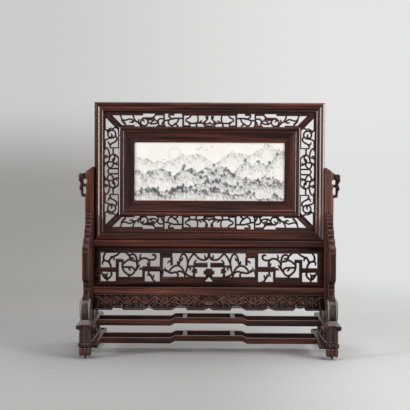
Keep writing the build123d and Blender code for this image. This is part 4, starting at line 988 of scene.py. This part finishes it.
one_leg = leg_shape()
one_drum = drum_shape()
one_plank = plank_shape()
one_side_rail = side_rail_shape()
for side, side_sign in SIDES:
    place_lumps(one_plank, f"{side}_plank", "moulded", foot_along_y, side_sign)
    place_lumps(one_side_rail, f"{side}_side_rail", "beaded", side_rail_wood, side_sign)
    for end, end_sign in ENDS:
        place_lumps(one_leg, f"{side}_{end}_leg", "carved", leg_wood, side_sign, end_sign)
        place_lumps(one_drum, f"{side}_{end}_drum", "turned", drum_wood, side_sign, end_sign)
for shape in (one_leg, one_drum, one_plank, one_side_rail):
    shape.free()
bpy.data.meshes.remove(one_ball)


# The plaque's painting, in millimetres from the plaque's lower left corner

PLAQUE_WIDTH = 354
PLAQUE_HEIGHT = 142
PLAQUE_MIDDLE_Z = 417.0
PLAQUE_FRONT_Y, PLAQUE_BACK_Y = -1.0, 5.0


def dab(layer, x, z, reach_x, reach_z, strength, slope=0.0):
    """One touch of the brush, soft at its rim."""
    for row in range(max(0, int(z - reach_z - 2)), min(PLAQUE_HEIGHT, int(z + reach_z + 3)) + 1):
        for column in range(max(0, int(x - reach_x)), min(PLAQUE_WIDTH, int(x + reach_x + 1)) + 1):
            dx = column - x
            dz = row - z - slope * dx
            away = (dx / reach_x) ** 2 + (dz / reach_z) ** 2
            if away < 1:
                layer[row][column] = min(1.0, layer[row][column] + strength * (1 - away))


def mountain_crest(left, right, swell, width, seed):
    """The height of one range at each millimetre across."""
    crest = []
    for x in range(PLAQUE_WIDTH + 1):
        wander = noise.fractal(Vector((x / width, seed, 0.4)), 0.8, 2.1, 5)
        crest.append(left + (right - left) * x / PLAQUE_WIDTH + swell * wander)
    return crest


def wash_range(wash, ink, crest, tone_share, fade, seed):
    """A range in wash: dark at the crest, lost in mist below, with dry strokes down its slopes."""
    for x, top in enumerate(crest):
        for z in range(min(PLAQUE_HEIGHT, int(top)) + 1):
            below = top - z
            mist = tone_share * math.exp(-below / fade)
            strokes = noise.fractal(Vector((x / 4 + z / 9, z / 7, seed)), 0.6, 2.2, 4)
            wash[z][x] = 0.35 * wash[z][x] + mist * (1.0 + 1.1 * strokes)
            ink[z][x] *= 0.4
            if strokes > 0.32 or below < 1.1 and strokes > -0.2:
                ink[z][x] = min(1.0, ink[z][x] + 0.85 * tone_share * math.exp(-below / (fade * 1.4)))


def pine(wash, ink, chance, x, z, size):
    """A pine: a leaning trunk and flat layers of needles."""
    lean = chance.uniform(-0.25, 0.25)
    for step in range(int(size)):
        dab(ink, x + lean * step, z + step, 0.8, 1.0, 0.5)
    for layer in range(3 + int(size / 5)):
        height = size * (0.35 + 0.65 * layer / (3 + int(size / 5)))
        reach = size * 0.34 * (1.25 - 0.7 * height / size)
        for _ in range(3):
            shift = chance.uniform(-reach, reach)
            slope = chance.uniform(-0.2, 0.2)
            dab(ink, x + lean * height + shift, z + height, reach * 0.6, 0.9, 0.4, slope)
            dab(wash, x + lean * height + shift, z + height, reach, 2.0, 0.4)


def landscape():
    """Misty ranges, pines on the banks, a low moon and a few birds, as grids of wash and of ink."""
    chance = random.Random(11)
    wash = [[0.0] * (PLAQUE_WIDTH + 1) for _ in range(PLAQUE_HEIGHT + 1)]
    ink = [[0.0] * (PLAQUE_WIDTH + 1) for _ in range(PLAQUE_HEIGHT + 1)]
    dab(wash, 96, 112, 19, 19, 0.3)
    for _ in range(3):
        dab(wash, 96, 112, 10.5, 10.5, -0.6)
    ranges = (
        (84, 128, 26, 62, 1.3, 0.42, 15, 0),
        (58, 104, 30, 50, 4.1, 0.62, 17, 16),
        (66, 58, 24, 44, 7.7, 0.75, 15, 30),
        (26, 50, 18, 52, 11.2, 0.85, 14, 34),
        (30, 12, 12, 38, 15.9, 0.95, 12, 40),
    )
    for left, right, swell, width, seed, tone_share, fade, pines in ranges:
        crest = mountain_crest(left, right, swell, width, seed)
        wash_range(wash, ink, crest, tone_share, fade, seed)
        for _ in range(pines):
            x = chance.uniform(6, PLAQUE_WIDTH - 6)
            size = chance.uniform(4, 9) * (0.6 + 0.9 * tone_share)
            pine(wash, ink, chance, x, crest[int(x)] - chance.uniform(0, 9), size)
    for x, z in ((150, 122), (158, 126), (169, 121), (182, 128), (60, 94), (71, 98)):
        dab(ink, x - 1.7, z + 0.4, 2.2, 0.9, 0.9, -0.35)
        dab(ink, x + 1.7, z + 0.4, 2.2, 0.9, 0.9, 0.35)
    for _ in range(26):
        dab(wash, chance.uniform(20, 330), chance.uniform(6, 40), chance.uniform(8, 30), 0.8, 0.3)
    return wash, ink


def make_plaque():
    """The ceramic plaque, its front painted millimetre by millimetre."""
    wash, ink = landscape()
    bm = bmesh.new()
    wash_layer = bm.verts.layers.float.new("wash")
    ink_layer = bm.verts.layers.float.new("ink")
    rows = []
    for row in range(PLAQUE_HEIGHT + 1):
        line = []
        for column in range(PLAQUE_WIDTH + 1):
            x = column - PLAQUE_WIDTH / 2
            z = PLAQUE_MIDDLE_Z - PLAQUE_HEIGHT / 2 + row
            corner = bm.verts.new((x, PLAQUE_FRONT_Y, z))
            corner[wash_layer] = max(0.0, wash[row][column])
            corner[ink_layer] = max(0.0, ink[row][column])
            line.append(corner)
        rows.append(line)
    for low, high in zip(rows, rows[1:]):
        for i in range(PLAQUE_WIDTH):
            bm.faces.new((low[i], low[i + 1], high[i + 1], high[i]))
    rim = [edge for edge in bm.edges if edge.is_boundary]
    grown = bmesh.ops.extrude_edge_only(bm, edges=rim)["geom"]
    bmesh.ops.translate(bm, vec=(0, PLAQUE_BACK_Y - PLAQUE_FRONT_Y, 0), verts=corners_of(grown))
    bmesh.ops.holes_fill(bm, edges=[edge for edge in bm.edges if edge.is_boundary], sides=0)
    bmesh.ops.recalc_face_normals(bm, faces=bm.faces)
    in_metres(bm)
    place_piece(bm, "painted_plaque", porcelain, "screen", ("plaque",))


make_plaque()


# Stage


def graded_backdrop(tree, across, height=None):
    """The backdrop's grey with painted light: pale on the right, dimmer to the left as the light falls off,
    and dimmest low down on that side in a painted shadow of the screen. Without a height it is the grey low
    down."""
    side = remap(tree, across, -1.4, 1.0, smooth=True)
    low = ramp(tree, side, (0.0, "#9b9996"), (0.5, "#a9a6a2"), (0.9, "#e0e1e1"))
    if height is None:
        return low
    high = ramp(tree, side, (0.0, "#cbcbca"), (1.0, "#e5e5e5"))
    return mix(tree, height, low, high)


def studio_paper():
    """Matt grey studio paper. Near the screen it takes light and shadow, its grey painted darker to the left
    as the light falls off, and far off it glows in the backdrop's painted grades."""
    material, tree, place = new_material("studio_paper")
    across = add_node(tree, "ShaderNodeSeparateXYZ", links={"Vector": place}).outputs["X"]
    distance = add_node(tree, "ShaderNodeVectorMath", links={0: place}, operation="LENGTH").outputs["Value"]
    # Far off, the paper glows in the backdrop's painted grades instead of taking light.
    far = remap(tree, distance, 0.5, 1.8, smooth=True)
    glow = add_node(tree, "ShaderNodeEmission", links={"Color": graded_backdrop(tree, across)}).outputs[0]
    # Near the screen, the paper's grey is painted darker to the left, as the light from the right falls off.
    sheet = ramp(tree, remap(tree, across, -0.05, 0.4, smooth=True), (0.0, "#9c9c9a"), (1.0, "#bcbcbb"))
    paper = add_node(tree, "ShaderNodeBsdfDiffuse", links={"Color": sheet}).outputs[0]
    surface = add_node(tree, "ShaderNodeMixShader", links={0: far, 1: paper, 2: glow}).outputs[0]
    add_node(tree, "ShaderNodeOutputMaterial", links={"Surface": surface})
    return material


FLOOR_RADIUS = 9.0
bm = bmesh.new()
bmesh.ops.create_circle(bm, cap_ends=True, segments=128, radius=FLOOR_RADIUS)
floor = linked("studio_floor", as_mesh(bm, "studio_floor"))
finish_with(floor, studio_paper())

STUDIO_FILL = 0.4
world = bpy.data.worlds.new("studio")
bpy.context.scene.world = world
world.use_nodes = True
sky = world.node_tree
sky.nodes.clear()
direction = add_node(sky, "ShaderNodeTexCoord").outputs["Generated"]
direction_parts = add_node(sky, "ShaderNodeSeparateXYZ", links={"Vector": direction}).outputs
sideways = maths(sky, "MULTIPLY", direction_parts["X"], 8.0)
above = remap(sky, direction_parts["Z"], -0.03, 0.05, smooth=True)
# Camera, glossy and transmission rays see the backdrop with its painted fall-off and shadow; other rays get a
# white fill.
seen = add_node(sky, "ShaderNodeBackground", links={"Color": graded_backdrop(sky, sideways, above)})
lit = add_node(sky, "ShaderNodeBackground", {"Color": linear("#ffffff"), "Strength": STUDIO_FILL})
rays = add_node(sky, "ShaderNodeLightPath").outputs
direct = maths(sky, "MAXIMUM", rays["Is Camera Ray"], rays["Is Glossy Ray"])
direct = maths(sky, "MAXIMUM", direct, rays["Is Transmission Ray"])
backdrop = add_node(sky, "ShaderNodeMixShader", links={0: direct, 1: lit.outputs[0], 2: seen.outputs[0]})
add_node(sky, "ShaderNodeOutputWorld", links={"Surface": backdrop.outputs[0]})


def softbox(name, place, aim, width, power):
    """A square soft light aimed at a point."""
    lamp = bpy.data.lights.new(name, "AREA")
    lamp.size = width
    lamp.energy = power
    holder = linked(name, lamp)
    holder.location = place
    holder.rotation_euler = (Vector(aim) - Vector(place)).to_track_quat("-Z", "Y").to_euler()


softbox("key_from_right", (2.3, -1.7, 1.7), (0, 0, 0.25), 1.4, 66)
softbox("strip_from_left", (-2.0, -1.3, 0.9), (0, 0, 0.3), 0.5, 34)
softbox("light_from_above", (0.3, 0.3, 2.3), (0, 0, 0.2), 1.6, 34)

# Camera, at the photograph's angle: 2.65 m in front of the frame, 38 mm above the middle of the plaque.
CAMERA_PLACE = (0.0, -2.662, 0.455)
LENS = 101.15
DOWN, TOWARDS_LEFT, ROLL = 2.48, 0.214, 0.27
camera_data = bpy.data.cameras.new("camera")
camera_data.lens = LENS
camera_data.sensor_width = 36.0
camera = linked("camera", camera_data)
turn = (
    Matrix.Rotation(math.radians(TOWARDS_LEFT), 4, "Z")
    @ Matrix.Rotation(math.radians(90 - DOWN), 4, "X")
    @ Matrix.Rotation(math.radians(ROLL), 4, "Z")
)
camera.matrix_world = Matrix.Translation(CAMERA_PLACE) @ turn
bpy.context.scene.camera = camera
bpy.context.scene.view_settings.view_transform = "Standard"
